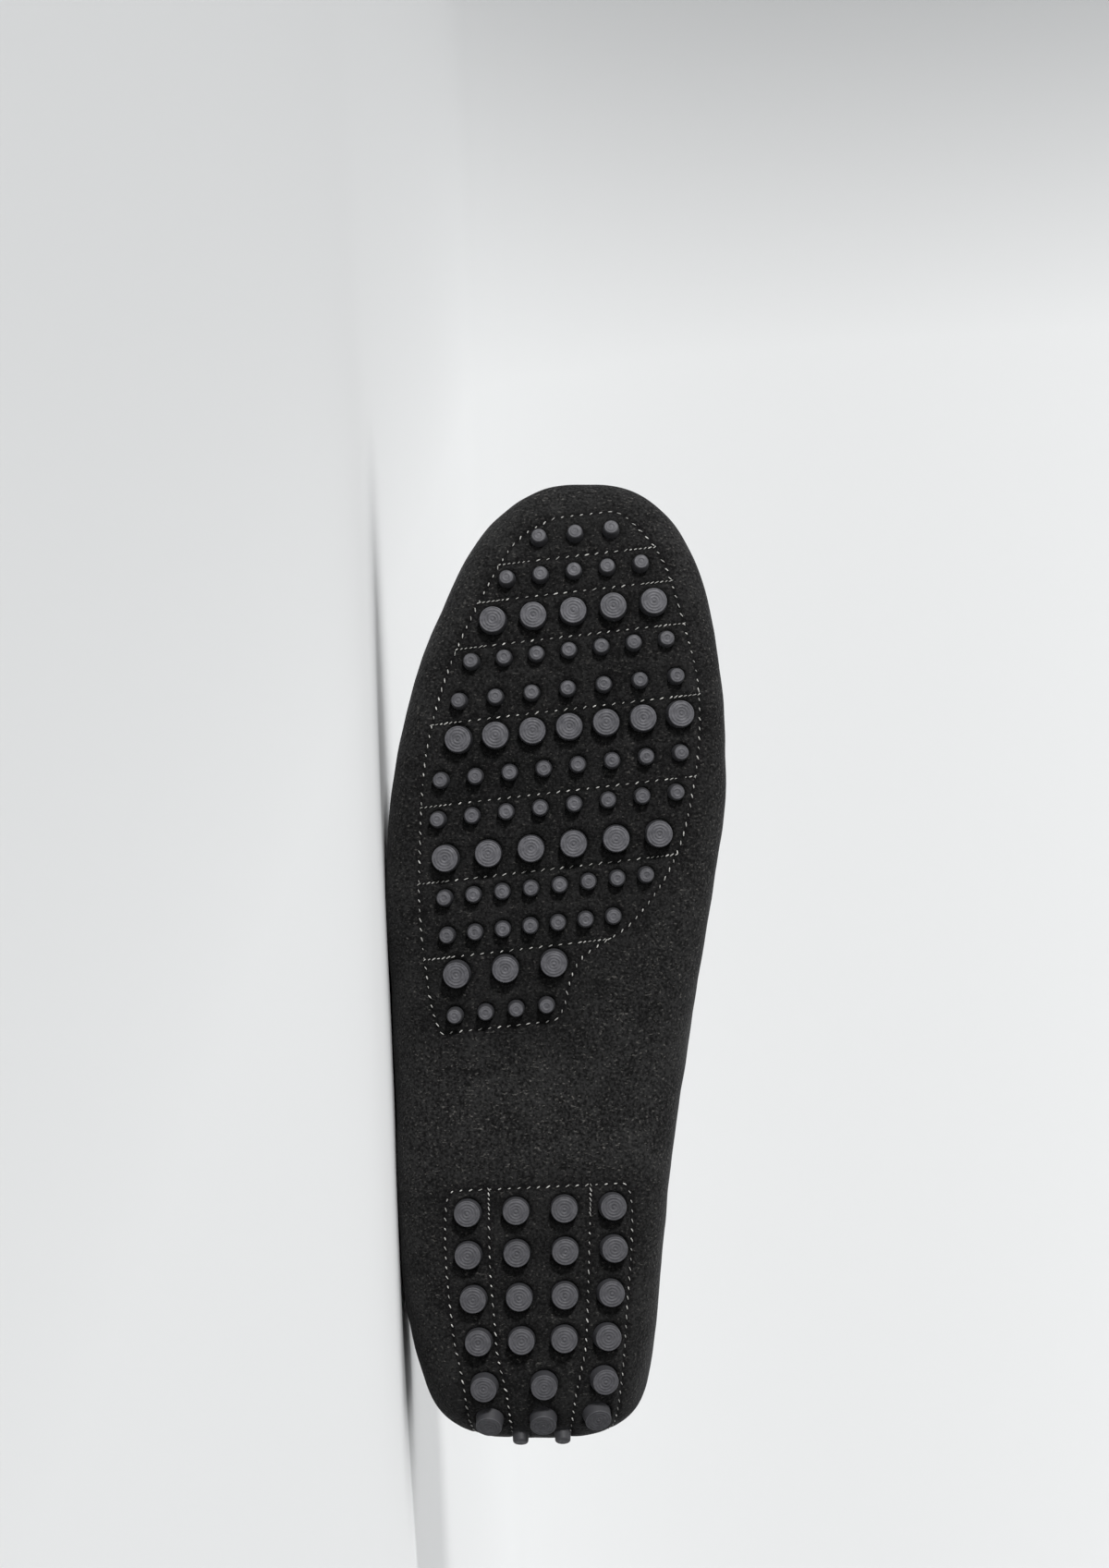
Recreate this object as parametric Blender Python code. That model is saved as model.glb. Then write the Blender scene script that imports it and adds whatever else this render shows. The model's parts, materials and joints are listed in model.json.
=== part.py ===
"""Driving moccasin for the right foot, empty, lying on its outer side.

The shoe is modelled standing on its studs in the last's own frame, in metres: X runs from the back of
the heel to the toe, +Y is the inner (big toe) side and +Z is up. All pieces hang on one empty, which
lays the finished shoe down on the flat of its outer side, as its own weight would.
"""

import functools
import math
from typing import NamedTuple

import bmesh
import bpy
import numpy as np
from mathutils import Matrix, Vector
from mathutils.bvhtree import BVHTree

# Driving sizes of the last
LENGTH = 0.284
BALL_WIDTH = 0.1014
HEEL_SIDE_HEIGHT = 0.0165  # from the underside up to the widest line, at the heel
INSTEP_HEIGHT = 0.080
TOE_SPRING = 0.010
ARCH_RISE = 0.0025

# Leather, rubber and gaps
WALL = 0.0020
PLATE = 0.0015
GAP = 0.0003
INSOLE_THICKNESS = 0.0030
INSOLE_LIFT = 0.0010  # over the rubber plates, whose facets stand a little proud between their corners
INSOLE_MARGIN = 0.0110  # from the shoe's sides in to the insole's edge
INSOLE_END_MARGIN = 0.0150  # from the heel and the toe in to the insole's ends
INSOLE_HEEL_ROUND = 0.026  # how far its heel end takes to round off
INSOLE_TOE_ROUND = 0.034
INSOLE_END_SHARE = 0.35  # how wide its ends stay, as a share of its full width
SEAM_RIDGE_HEIGHT = 0.0018
SEAM_RIDGE_WIDTH = 0.0030
CUT_REACH = 0.0015  # how far a cutter stands out of the wall on each side

# Rubber studs
BIG_STUD_DIAMETER = 0.0080
BIG_STUD_HEIGHT = 0.0032
SMALL_STUD_DIAMETER = 0.0048
SMALL_STUD_HEIGHT = 0.0030
BIG_STUD_SIDES = 8
SMALL_STUD_SIDES = 6

# Densities in kg/m3, which find the side's balance when the shoe lies down
SUEDE_DENSITY = 900.0
RUBBER_DENSITY = 1150.0
INSOLE_DENSITY = 600.0

# How the last closes at its ends: the share of the length that the rounding takes, and its powers
HEEL_ROUND = 0.12
HEEL_ROUND_POWERS = (3.0, 3.0)
TOE_ROUND = 0.14
TOE_ROUND_POWERS = (3.0, 2.5)
UNDERSIDE_SQUARENESS = 3.8
SPRING_START = 0.70
SPRING_POWER = 1.8
ARCH_SPAN = (0.25, 0.55)

# How finely the last is faceted
STATIONS = 28
RING_POINTS = 26
RING_SAMPLES = 240
CORNER_DENSITY = 0.12  # share of BALL_WIDTH that a radian of turning counts for between two points

# The heel patch turns up the back of the heel from here, at this mean radius
HEEL_TURN = HEEL_ROUND * LENGTH
HEEL_TURN_RADIUS = 0.028

# A face of the hull counts as the outer side where its normal has at least this much of -Y
OUTER_SIDE_FACING = 0.8


class Section(NamedTuple):
    """One cross-section of the last. Edges are shares of BALL_WIDTH from the heel's middle line."""

    along: float
    lateral: float
    medial: float
    widest: float  # height of the widest line over the underside, share of HEEL_SIDE_HEIGHT
    top: float  # height of the ridge over the underside, share of INSTEP_HEIGHT
    squareness: float  # of the arch over the widest line, 2 for an ellipse and more for straighter walls


SECTIONS = (
    Section(0.000, 0.333, 0.366, 1.75, 1.17, 2.60),
    Section(0.065, 0.331, 0.350, 1.72, 1.20, 2.60),
    Section(0.145, 0.372, 0.369, 1.35, 1.22, 2.70),
    Section(0.250, 0.394, 0.394, 1.20, 1.22, 2.80),
    Section(0.380, 0.404, 0.443, 1.35, 1.18, 2.80),
    Section(0.500, 0.419, 0.494, 1.22, 1.06, 2.70),
    Section(0.575, 0.429, 0.527, 0.98, 0.93, 2.55),
    Section(0.650, 0.418, 0.557, 0.89, 0.81, 2.40),
    Section(0.730, 0.385, 0.563, 0.88, 0.715, 2.35),
    Section(0.810, 0.329, 0.546, 0.87, 0.625, 2.30),
    Section(0.870, 0.262, 0.516, 0.85, 0.545, 2.25),
    Section(0.930, 0.196, 0.478, 0.82, 0.465, 2.20),
    Section(1.000, 0.123, 0.434, 0.78, 0.380, 2.20),
)


class ToplinePoint(NamedTuple):
    """A point of the collar's edge seen from the side: share of LENGTH, share of INSTEP_HEIGHT."""

    along: float
    height: float


TOPLINE = (
    ToplinePoint(-0.10, 0.93),
    ToplinePoint(0.00, 0.88),
    ToplinePoint(0.07, 0.82),
    ToplinePoint(0.16, 0.735),
    ToplinePoint(0.27, 0.70),
    ToplinePoint(0.37, 0.72),
    ToplinePoint(0.45, 0.79),
    ToplinePoint(0.52, 0.90),
    ToplinePoint(0.57, 1.02),
    ToplinePoint(0.62, 1.20),
)


class Seam(NamedTuple):
    """The stitched edge of a stud patch at one slanted row, edges as shares of BALL_WIDTH."""

    along: float
    lateral: float
    medial: float


class StudRow(NamedTuple):
    """A slanted row of studs, from its outer to its inner stud, as shares of BALL_WIDTH."""

    along: float
    lateral: float
    medial: float
    count: int
    big: bool


ROW_SLANT = 0.116  # rise towards the toe per width, following the line of the toe joints
HEEL_ROW_SLANT = 0.045
SLANT_PIVOT = 0.069 * BALL_WIDTH

FOREFOOT_SEAM = (
    Seam(0.4415, -0.262, 0.066),
    Seam(0.4500, -0.274, 0.086),
    Seam(0.4700, -0.291, 0.101),
    Seam(0.4920, -0.302, 0.122),
    Seam(0.5040, -0.306, 0.145),
    Seam(0.5120, -0.309, 0.180),
    Seam(0.5290, -0.316, 0.272),
    Seam(0.5430, -0.320, 0.313),
    Seam(0.5620, -0.324, 0.358),
    Seam(0.5860, -0.328, 0.400),
    Seam(0.6150, -0.327, 0.434),
    Seam(0.6400, -0.325, 0.452),
    Seam(0.6720, -0.322, 0.469),
    Seam(0.7022, -0.317, 0.480),
    Seam(0.7423, -0.302, 0.484),
    Seam(0.7823, -0.275, 0.476),
    Seam(0.8209, -0.238, 0.450),
    Seam(0.8617, -0.186, 0.419),
    Seam(0.9035, -0.122, 0.379),
    Seam(0.9259, -0.084, 0.343),
    Seam(0.9432, -0.043, 0.302),
    Seam(0.9551, 0.010, 0.272),
    Seam(0.9625, 0.068, 0.238),
)

FOREFOOT_STUDS = (
    StudRow(0.9418, 0.019, 0.228, 3, False),
    StudRow(0.9031, -0.073, 0.313, 5, False),
    StudRow(0.8613, -0.113, 0.349, 5, True),
    StudRow(0.8216, -0.175, 0.386, 7, False),
    StudRow(0.7822, -0.210, 0.414, 7, False),
    StudRow(0.7427, -0.212, 0.425, 7, True),
    StudRow(0.7029, -0.262, 0.426, 8, False),
    StudRow(0.6628, -0.271, 0.414, 8, False),
    StudRow(0.6220, -0.249, 0.364, 6, True),
    StudRow(0.5813, -0.252, 0.327, 8, False),
    StudRow(0.5427, -0.244, 0.233, 7, False),
    StudRow(0.5017, -0.217, 0.062, 3, True),
    StudRow(0.4589, -0.222, 0.041, 4, False),
)

# Behind HEEL_TURN, along counts down the curve of the heel's back, and past 0 it goes on upwards
HEEL_SEAM = (
    Seam(-0.046, -0.145, 0.205),
    Seam(-0.020, -0.158, 0.222),
    Seam(0.005, -0.172, 0.238),
    Seam(0.032, -0.187, 0.251),
    Seam(0.057, -0.197, 0.260),
    Seam(0.085, -0.211, 0.266),
    Seam(0.107, -0.223, 0.269),
    Seam(0.140, -0.234, 0.274),
    Seam(0.165, -0.242, 0.279),
    Seam(0.196, -0.249, 0.286),
    Seam(0.225, -0.252, 0.289),
    Seam(0.250, -0.250, 0.287),
    Seam(0.263, -0.245, 0.280),
    Seam(0.271, -0.230, 0.265),
)

HEEL_STUDS = (
    StudRow(0.2480, -0.186, 0.231, 4, True),
    StudRow(0.2045, -0.184, 0.234, 4, True),
    StudRow(0.1590, -0.169, 0.225, 4, True),
    StudRow(0.1133, -0.154, 0.215, 4, True),
    StudRow(0.0640, -0.138, 0.206, 3, True),
    StudRow(0.0290, -0.123, 0.186, 3, True),
    StudRow(0.0060, -0.034, 0.088, 2, False),
)


class ApronRow(NamedTuple):
    """The apron's half width at one station, as a share of the last's own half width there."""

    along: float
    half: float


APRON = (
    ApronRow(0.500, 0.600),
    ApronRow(0.570, 0.640),
    ApronRow(0.640, 0.665),
    ApronRow(0.710, 0.685),
    ApronRow(0.780, 0.690),
    ApronRow(0.830, 0.675),
    ApronRow(0.870, 0.640),
    ApronRow(0.900, 0.575),
    ApronRow(0.918, 0.470),
    ApronRow(0.928, 0.300),
)
APRON_COLUMNS = 7
FOREFOOT_COLUMNS = 8
HEEL_COLUMNS = 7
TOPLINE_POINTS = 26
INSOLE_ROWS = 16
INSOLE_COLUMNS = 7


class Curve:
    """A smooth curve through one column of a table (cubic, with slopes from the neighbouring rows)."""

    def __init__(self, table, name):
        self.along = [row.along for row in table]
        self.values = [getattr(row, name) for row in table]
        self.slopes = np.gradient(np.asarray(self.values), np.asarray(self.along))

    def __call__(self, at):
        if at <= self.along[0]:
            return self.values[0]
        if at >= self.along[-1]:
            return self.values[-1]
        i = int(np.searchsorted(self.along, at, side="right")) - 1
        width = self.along[i + 1] - self.along[i]
        t = (at - self.along[i]) / width
        return float(
            (1 + 2 * t) * (1 - t) ** 2 * self.values[i]
            + t * (1 - t) ** 2 * width * self.slopes[i]
            + t * t * (3 - 2 * t) * self.values[i + 1]
            + t * t * (t - 1) * width * self.slopes[i + 1]
        )


LATERAL = Curve(SECTIONS, "lateral")
MEDIAL = Curve(SECTIONS, "medial")
WIDEST = Curve(SECTIONS, "widest")
TOP = Curve(SECTIONS, "top")
SQUARENESS = Curve(SECTIONS, "squareness")


def end_closure(share):
    """How far the last has opened from its rounded ends: 0 at either tip and 1 between the ends."""
    if share <= 0 or share >= 1:
        return 0.0
    if share < HEEL_ROUND:
        power, root = HEEL_ROUND_POWERS
        return (1 - (1 - share / HEEL_ROUND) ** power) ** (1 / root)
    if share > 1 - TOE_ROUND:
        power, root = TOE_ROUND_POWERS
        return (1 - ((share - 1 + TOE_ROUND) / TOE_ROUND) ** power) ** (1 / root)
    return 1.0


def underside(share):
    """Height of the suede's underside over the ground: the stud height, the arch and the toe spring."""
    height = BIG_STUD_HEIGHT
    if share > SPRING_START:
        height += TOE_SPRING * ((share - SPRING_START) / (1 - SPRING_START)) ** SPRING_POWER
    low, high = ARCH_SPAN
    if low < share < high:
        height += ARCH_RISE * math.sin(math.pi * (share - low) / (high - low)) ** 2
    return height


class Cut:
    """The last's cross-section at one station: its middle, half width, and heights below and above."""

    def __init__(self, share):
        opened = end_closure(share)
        lateral = LATERAL(share) * BALL_WIDTH
        medial = MEDIAL(share) * BALL_WIDTH
        below = WIDEST(share) * HEEL_SIDE_HEIGHT
        self.middle = (medial - lateral) / 2
        self.half = (medial + lateral) / 2 * opened
        self.level = underside(share) + below
        self.below = below * opened
        self.above = (TOP(share) * INSTEP_HEIGHT - below) * opened
        self.squareness = SQUARENESS(share)


@functools.cache
def cut_at(x):
    """The cross-section at one distance from the back of the heel."""
    return Cut(min(max(x / LENGTH, 0.0), 1.0))


def section_ring(share, points):
    """Points round one cross-section, closer together where it turns, from the underside by the inner side."""
    cut = cut_at(share * LENGTH)
    turn = np.linspace(-math.pi / 2, 1.5 * math.pi, RING_SAMPLES + 1)
    across, up = np.cos(turn), np.sin(turn)
    power = np.where(up < 0, UNDERSIDE_SQUARENESS, cut.squareness)
    height = np.where(up < 0, cut.below, cut.above)
    y = cut.middle + cut.half * np.sign(across) * np.abs(across) ** (2 / power)
    z = cut.level + height * np.sign(up) * np.abs(up) ** (2 / power)
    heading = np.unwrap(np.arctan2(np.diff(z), np.diff(y)))
    bend = np.abs(np.diff(heading, append=heading[-1]))
    steps = np.hypot(np.diff(y), np.diff(z)) + bend * CORNER_DENSITY * BALL_WIDTH
    run = np.concatenate([[0], np.cumsum(steps)])
    at = np.linspace(0, run[-1], points, endpoint=False)
    return [
        Vector((share * LENGTH, float(np.interp(a, run, y)), float(np.interp(a, run, z))))
        for a in at
    ]


def outside(x, y, z):
    """Negative inside the last, 0 on its surface and positive outside."""
    cut = cut_at(x)
    if cut.half < GAP:
        return 1.0
    below = z < cut.level
    height = cut.below if below else cut.above
    power = UNDERSIDE_SQUARENESS if below else cut.squareness
    return abs((y - cut.middle) / cut.half) ** power + abs((z - cut.level) / height) ** power - 1


def outward(point):
    """The last's outward normal at a point on, or just within, its surface."""
    step = GAP / 10
    slope = [
        outside(*(point + Vector(axis) * step)) - outside(*(point - Vector(axis) * step))
        for axis in ((1, 0, 0), (0, 1, 0), (0, 0, 1))
    ]
    return Vector(slope).normalized()


def reach(walls, start, direction):
    """Where a ray from inside the last meets the faceted wall, and the last's outward normal there."""
    point = walls.ray_cast(start, direction)[0]
    return point, outward(point)


def on_sole(walls, along, y, slant):
    """A place on the underside, and its outward normal. Behind HEEL_TURN it goes round the heel's back."""
    x = along * LENGTH + slant * (y - SLANT_PIVOT)
    if x >= HEEL_TURN:
        return reach(walls, Vector((x, y, cut_at(x).level)), Vector((0, 0, -1)))
    turn = (HEEL_TURN - x) / HEEL_TURN_RADIUS
    hub = Vector((HEEL_TURN, y, cut_at(HEEL_TURN).level))
    return reach(walls, hub, Vector((-math.sin(turn), 0, -math.cos(turn))))


def linked(name, mesh):
    """A new object that holds the mesh."""
    obj = bpy.data.objects.new(name, mesh)
    bpy.context.scene.collection.objects.link(obj)
    return obj


def finished(name, bm):
    """The bmesh as an object, with its faces turned outwards."""
    bmesh.ops.recalc_face_normals(bm, faces=bm.faces)
    mesh = bpy.data.meshes.new(name)
    bm.to_mesh(mesh)
    bm.free()
    return linked(name, mesh)


def add_sheet(bm, grid, outer, inner):
    """Adds a closed curved sheet over a grid of (point, normal), between two offsets along the normals.

    outer(row, column) is the outer face's height over the surface, and inner is the inner face's depth.
    """
    rows, columns = len(grid), len(grid[0])
    high = [[bm.verts.new(p + n * outer(i, j)) for j, (p, n) in enumerate(row)] for i, row in enumerate(grid)]
    low = [[bm.verts.new(p - n * inner) for p, n in row] for row in grid]
    for i in range(rows - 1):
        for j in range(columns - 1):
            for face, way in ((high, 1), (low, -1)):
                ring = [face[i][j], face[i][j + 1], face[i + 1][j + 1], face[i + 1][j]]
                bm.faces.new(ring[::way])
    rim = [(i, 0) for i in range(rows)] + [(rows - 1, j) for j in range(1, columns)]
    rim += [(i, columns - 1) for i in range(rows - 2, -1, -1)] + [(0, j) for j in range(columns - 2, 0, -1)]
    for (i, j), (k, m) in zip(rim, rim[1:] + rim[:1]):
        bm.faces.new((high[i][j], high[k][m], low[k][m], low[i][j]))


def sheet(name, grid, outer, inner):
    """A closed curved sheet as an object."""
    bm = bmesh.new()
    add_sheet(bm, grid, outer, inner)
    return finished(name, bm)


def patch_grid(walls, seam, slant, columns):
    """Points and normals on the inner wall over a stud patch."""
    return [
        [
            on_sole(walls, row.along, float(y) * BALL_WIDTH, slant)
            for y in np.linspace(row.lateral, row.medial, columns)
        ]
        for row in seam
    ]


def add_prism(bm, point, normal, radius, sides, low, high):
    """Adds a short round bar along a normal, between two heights over the point."""
    middle = point + normal * (low + high) / 2
    place = Matrix.Translation(middle) @ normal.to_track_quat("Z", "Y").to_matrix().to_4x4()
    bmesh.ops.create_cone(
        bm,
        cap_ends=True,
        segments=sides,
        radius1=radius,
        radius2=radius,
        depth=high - low,
        matrix=place,
    )


def add_row(bm, walls, row, slant, grown, low, rise):
    """Adds a row of studs, or of the holes that they stand in, which are wider by the gap that is grown."""
    radius = (BIG_STUD_DIAMETER if row.big else SMALL_STUD_DIAMETER) / 2 + grown
    height = BIG_STUD_HEIGHT if row.big else SMALL_STUD_HEIGHT
    sides = BIG_STUD_SIDES if row.big else SMALL_STUD_SIDES
    for y in np.linspace(row.lateral, row.medial, row.count):
        point, normal = on_sole(walls, row.along, float(y) * BALL_WIDTH, slant)
        add_prism(bm, point, normal, radius, sides, low, height if rise is None else rise)


def combine(target, other, operation):
    """Cuts or joins the target with a helper object, which is then hidden."""
    modifier = target.modifiers.new(operation.title(), "BOOLEAN")
    modifier.operation = operation
    modifier.solver = "EXACT"
    modifier.object = other
    other.hide_render = True
    other.display_type = "WIRE"


def studded_plate(name, walls, seam, rows, slant, columns):
    """A rubber plate inside the suede, with its studs, which stand out through the punched holes."""
    grid = patch_grid(walls.inner, seam, slant, columns)
    plate = sheet(name, grid, lambda i, j: -GAP, GAP + PLATE)
    bm = bmesh.new()
    for row in rows:
        add_row(bm, walls.outer, row, slant, 0.0, -(WALL + GAP + PLATE / 2), None)
    combine(plate, finished(name + "_studs", bm), "UNION")
    return plate


def punched_holes(walls):
    """What punches the suede for every stud."""
    bm = bmesh.new()
    for rows, slant in ((FOREFOOT_STUDS, ROW_SLANT), (HEEL_STUDS, HEEL_ROW_SLANT)):
        for row in rows:
            add_row(bm, walls.outer, row, slant, GAP, -(WALL + CUT_REACH), CUT_REACH)
    return finished("stud_holes", bm)


class Walls(NamedTuple):
    """The faceted faces of the leather, outside and inside, as trees that rays can be cast at."""

    outer: BVHTree
    inner: BVHTree


def last_shell():
    """The last's whole surface with a wall of leather inside it, still closed at the collar."""
    bm = bmesh.new()
    shares = [0.5 - 0.5 * math.cos(math.pi * i / STATIONS) for i in range(1, STATIONS)]
    rings = [[bm.verts.new(p) for p in section_ring(share, RING_POINTS)] for share in shares]
    heel, toe = cut_at(0.0), cut_at(LENGTH)
    tips = [bm.verts.new((0, heel.middle, heel.level)), bm.verts.new((LENGTH, toe.middle, toe.level))]
    for ring, after in zip(rings, rings[1:]):
        for j in range(RING_POINTS):
            k = (j + 1) % RING_POINTS
            bm.faces.new((ring[j], ring[k], after[k], after[j]))
    for tip, ring in ((tips[0], rings[0]), (tips[1], rings[-1])):
        for j in range(RING_POINTS):
            bm.faces.new((tip, ring[(j + 1) % RING_POINTS], ring[j]))
    bmesh.ops.triangulate(bm, faces=bm.faces)
    bmesh.ops.recalc_face_normals(bm, faces=bm.faces)
    bm.normal_update()
    outer = BVHTree.FromBMesh(bm)
    skin = list(bm.faces)
    lining = {v: bm.verts.new(v.co - v.normal * WALL) for v in list(bm.verts)}
    inside = [bm.faces.new([lining[v] for v in reversed(face.verts)]) for face in skin]
    bm.verts.index_update()
    inner = BVHTree.FromPolygons(
        [v.co.copy() for v in bm.verts], [[v.index for v in face.verts] for face in inside]
    )
    mesh = bpy.data.meshes.new("upper")
    bm.to_mesh(mesh)
    bm.free()
    return linked("upper", mesh), Walls(outer, inner)


def collar_cutter():
    """All the space over the topline, as wide as the shoe and more."""
    topline = Curve(TOPLINE, "height")
    rim = [
        (along * LENGTH, topline(along) * INSTEP_HEIGHT)
        for along in np.linspace(TOPLINE[0].along, TOPLINE[-1].along, TOPLINE_POINTS)
    ]
    over = 2 * INSTEP_HEIGHT
    outline = [*rim, (rim[-1][0], over), (rim[0][0], over)]
    bm = bmesh.new()
    near, far = ([bm.verts.new((x, y, z)) for x, z in outline] for y in (-BALL_WIDTH, BALL_WIDTH))
    bm.faces.new(near)
    bm.faces.new(reversed(far))
    for j in range(len(outline)):
        k = (j + 1) % len(outline)
        bm.faces.new((near[k], near[j], far[j], far[k]))
    return finished("collar_cutter", bm)


def apron_grid(walls, grown=0.0):
    """Points and normals over the apron, with a narrow border along its seam."""
    front = APRON[-1].along * LENGTH
    border_at = front - SEAM_RIDGE_WIDTH
    half_at = Curve(APRON, "half")
    rows = [(row.along * LENGTH, row.half) for row in APRON if row.along * LENGTH < border_at]
    rows += [(border_at, half_at(border_at / LENGTH)), (front + grown, APRON[-1].half)]
    grid = []
    for x, half in rows:
        cut = cut_at(x)
        edge = half * cut.half
        border = edge - SEAM_RIDGE_WIDTH
        places = [-edge - grown, *np.linspace(-border, border, APRON_COLUMNS), edge + grown]
        up = Vector((0, 0, 1))
        grid.append([reach(walls.outer, Vector((x, cut.middle + float(y), cut.level)), up) for y in places])
    return grid


def apron(walls):
    """The moccasin's top panel, with the raised seam round its edge."""
    grid = apron_grid(walls)
    last_row, last_column = len(grid) - 1, len(grid[0]) - 1

    def height(i, j):
        return SEAM_RIDGE_HEIGHT if i >= last_row or j in (0, last_column) else 0.0

    return sheet("apron", grid, height, WALL)


def insole(walls):
    """The leather sock inside, which follows the underside and stops short of the walls."""
    first, last = INSOLE_END_MARGIN, LENGTH - INSOLE_END_MARGIN
    down = Vector((0, 0, -1))
    grid = []
    for i in range(INSOLE_ROWS + 1):
        x = first + (last - first) * (0.5 - 0.5 * math.cos(math.pi * i / INSOLE_ROWS))
        cut = cut_at(x)
        short = max(1 - (x - first) / INSOLE_HEEL_ROUND, 1 - (last - x) / INSOLE_TOE_ROUND, 0.0)
        share = INSOLE_END_SHARE + (1 - INSOLE_END_SHARE) * math.sqrt(1 - short**2)
        half = (cut.half - INSOLE_MARGIN) * share
        places = np.linspace(-half, half, INSOLE_COLUMNS)
        grid.append([reach(walls.inner, Vector((x, cut.middle + float(y), cut.level)), down) for y in places])
    depth = GAP + PLATE + INSOLE_LIFT
    return sheet("insole", grid, lambda i, j: -depth, depth + INSOLE_THICKNESS)


def material(name, colour, roughness):
    """A plain surface of one colour."""
    made = bpy.data.materials.new(name)
    made.use_nodes = True
    shader = made.node_tree.nodes["Principled BSDF"]
    shader.inputs["Base Color"].default_value = (*colour, 1)
    shader.inputs["Roughness"].default_value = roughness
    shader.inputs["Metallic"].default_value = 0.0
    return made


class Piece(NamedTuple):
    """One finished piece and what it is made of."""

    body: bpy.types.Object
    coat: bpy.types.Material
    density: float


def shoe_pieces():
    """Makes every piece, with the shoe standing on its studs."""
    upper, walls = last_shell()
    collar = collar_cutter()
    throat = sheet("apron_cutter", apron_grid(walls, GAP), lambda i, j: CUT_REACH, WALL + CUT_REACH)
    combine(upper, punched_holes(walls), "DIFFERENCE")
    combine(upper, throat, "DIFFERENCE")
    combine(upper, collar, "DIFFERENCE")
    panel = apron(walls)
    combine(panel, collar, "DIFFERENCE")
    forefoot = studded_plate(
        "forefoot_sole", walls, FOREFOOT_SEAM, FOREFOOT_STUDS, ROW_SLANT, FOREFOOT_COLUMNS
    )
    heel = studded_plate("heel_sole", walls, HEEL_SEAM, HEEL_STUDS, HEEL_ROW_SLANT, HEEL_COLUMNS)
    suede = material("black_suede", (0.012, 0.012, 0.012), 0.95)
    rubber = material("grey_rubber", (0.13, 0.13, 0.135), 0.7)
    leather = material("sock_leather", (0.02, 0.02, 0.02), 0.6)
    return [
        Piece(upper, suede, SUEDE_DENSITY),
        Piece(panel, suede, SUEDE_DENSITY),
        Piece(forefoot, rubber, RUBBER_DENSITY),
        Piece(heel, rubber, RUBBER_DENSITY),
        Piece(insole(walls), leather, INSOLE_DENSITY),
    ]


def weigh(pieces):
    """The corners of all the pieces as cut, and the shoe's centre of weight."""
    bpy.context.view_layer.update()
    depsgraph = bpy.context.evaluated_depsgraph_get()
    corners, moment, weight = [], Vector(), 0.0
    for piece in pieces:
        bm = bmesh.new()
        bm.from_object(piece.body, depsgraph)
        bmesh.ops.triangulate(bm, faces=bm.faces)
        corners += [v.co.copy() for v in bm.verts]
        for face in bm.faces:
            a, b, c = (v.co for v in face.verts)
            part = a.dot(b.cross(c)) / 6 * piece.density
            moment += part * (a + b + c) / 4
            weight += part
        bm.free()
    return corners, moment / weight


def tipping(face, balance):
    """How far the centre of weight stands outside a face of the hull: 0 or less where it rests on it."""
    corners = [v.co for v in face.verts]
    sides = zip(corners, corners[1:] + corners[:1])
    return max((balance - a).dot((b - a).cross(face.normal).normalized()) for a, b in sides)


def laid_down(corners, balance):
    """The matrix that lays the shoe on the flat of its outer side that carries its weight.

    The toe then points to -X and the sole faces -Y, and the origin is under the middle of the shoe.
    """
    bm = bmesh.new()
    for corner in corners:
        bm.verts.new(corner)
    bmesh.ops.convex_hull(bm, input=bm.verts)
    bm.normal_update()
    flats = [face for face in bm.faces if face.normal.y < -OUTER_SIDE_FACING]
    up = -min(flats, key=lambda face: tipping(face, balance)).normal
    bm.free()
    back = (up * up.x - Vector((1, 0, 0))).normalized()
    turn = Matrix((back, up.cross(back), up))
    laid = [turn @ corner for corner in corners]
    low, high = (Vector([pick(c[axis] for c in laid) for axis in range(3)]) for pick in (min, max))
    return Matrix.Translation((-(low.x + high.x) / 2, -(low.y + high.y) / 2, -low.z)) @ turn.to_4x4()


def clear_scene():
    """Removes what the file held."""
    for obj in list(bpy.data.objects):
        bpy.data.objects.remove(obj)


def main():
    """Builds the shoe and lays it on its outer side."""
    clear_scene()
    pieces = shoe_pieces()
    for piece in pieces:
        piece.body.data.materials.append(piece.coat)
    laid = laid_down(*weigh(pieces))
    carrier = bpy.data.objects.new("shoe", None)
    for obj in list(bpy.context.scene.objects):
        obj.parent = carrier
    bpy.context.scene.collection.objects.link(carrier)
    carrier.matrix_world = laid


main()
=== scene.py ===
"""The looks of a right driving moccasin in black suede, lying on its outer side.

Shapes are worked out in the last's own frame, in metres: X runs from the back of the heel to the toe,
+Y is the inner (big toe) side and +Z is up from the studs. The pose then lays them where the solids lie.
"""

import json
import logging
import math
from collections.abc import Callable, Iterator, Sequence
from dataclasses import dataclass, field
from enum import Enum

import bmesh
import bpy
import numpy as np
from mathutils import Matrix, Vector, kdtree, noise

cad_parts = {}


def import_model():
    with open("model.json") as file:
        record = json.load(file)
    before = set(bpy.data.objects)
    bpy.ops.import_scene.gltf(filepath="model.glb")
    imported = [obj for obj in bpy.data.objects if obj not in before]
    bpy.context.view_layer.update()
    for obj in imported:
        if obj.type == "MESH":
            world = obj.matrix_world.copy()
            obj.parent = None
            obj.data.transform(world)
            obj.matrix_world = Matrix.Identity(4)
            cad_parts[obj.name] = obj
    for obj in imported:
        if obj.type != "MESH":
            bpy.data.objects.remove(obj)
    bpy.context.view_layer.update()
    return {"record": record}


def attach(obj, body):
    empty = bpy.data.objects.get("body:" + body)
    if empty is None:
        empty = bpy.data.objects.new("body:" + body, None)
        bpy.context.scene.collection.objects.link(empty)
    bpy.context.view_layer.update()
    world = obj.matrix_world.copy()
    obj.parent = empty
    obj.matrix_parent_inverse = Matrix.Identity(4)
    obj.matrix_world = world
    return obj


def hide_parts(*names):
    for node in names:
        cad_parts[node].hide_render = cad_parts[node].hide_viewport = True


LOG = logging.getLogger("driving_moccasin")
MM = 0.001
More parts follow.
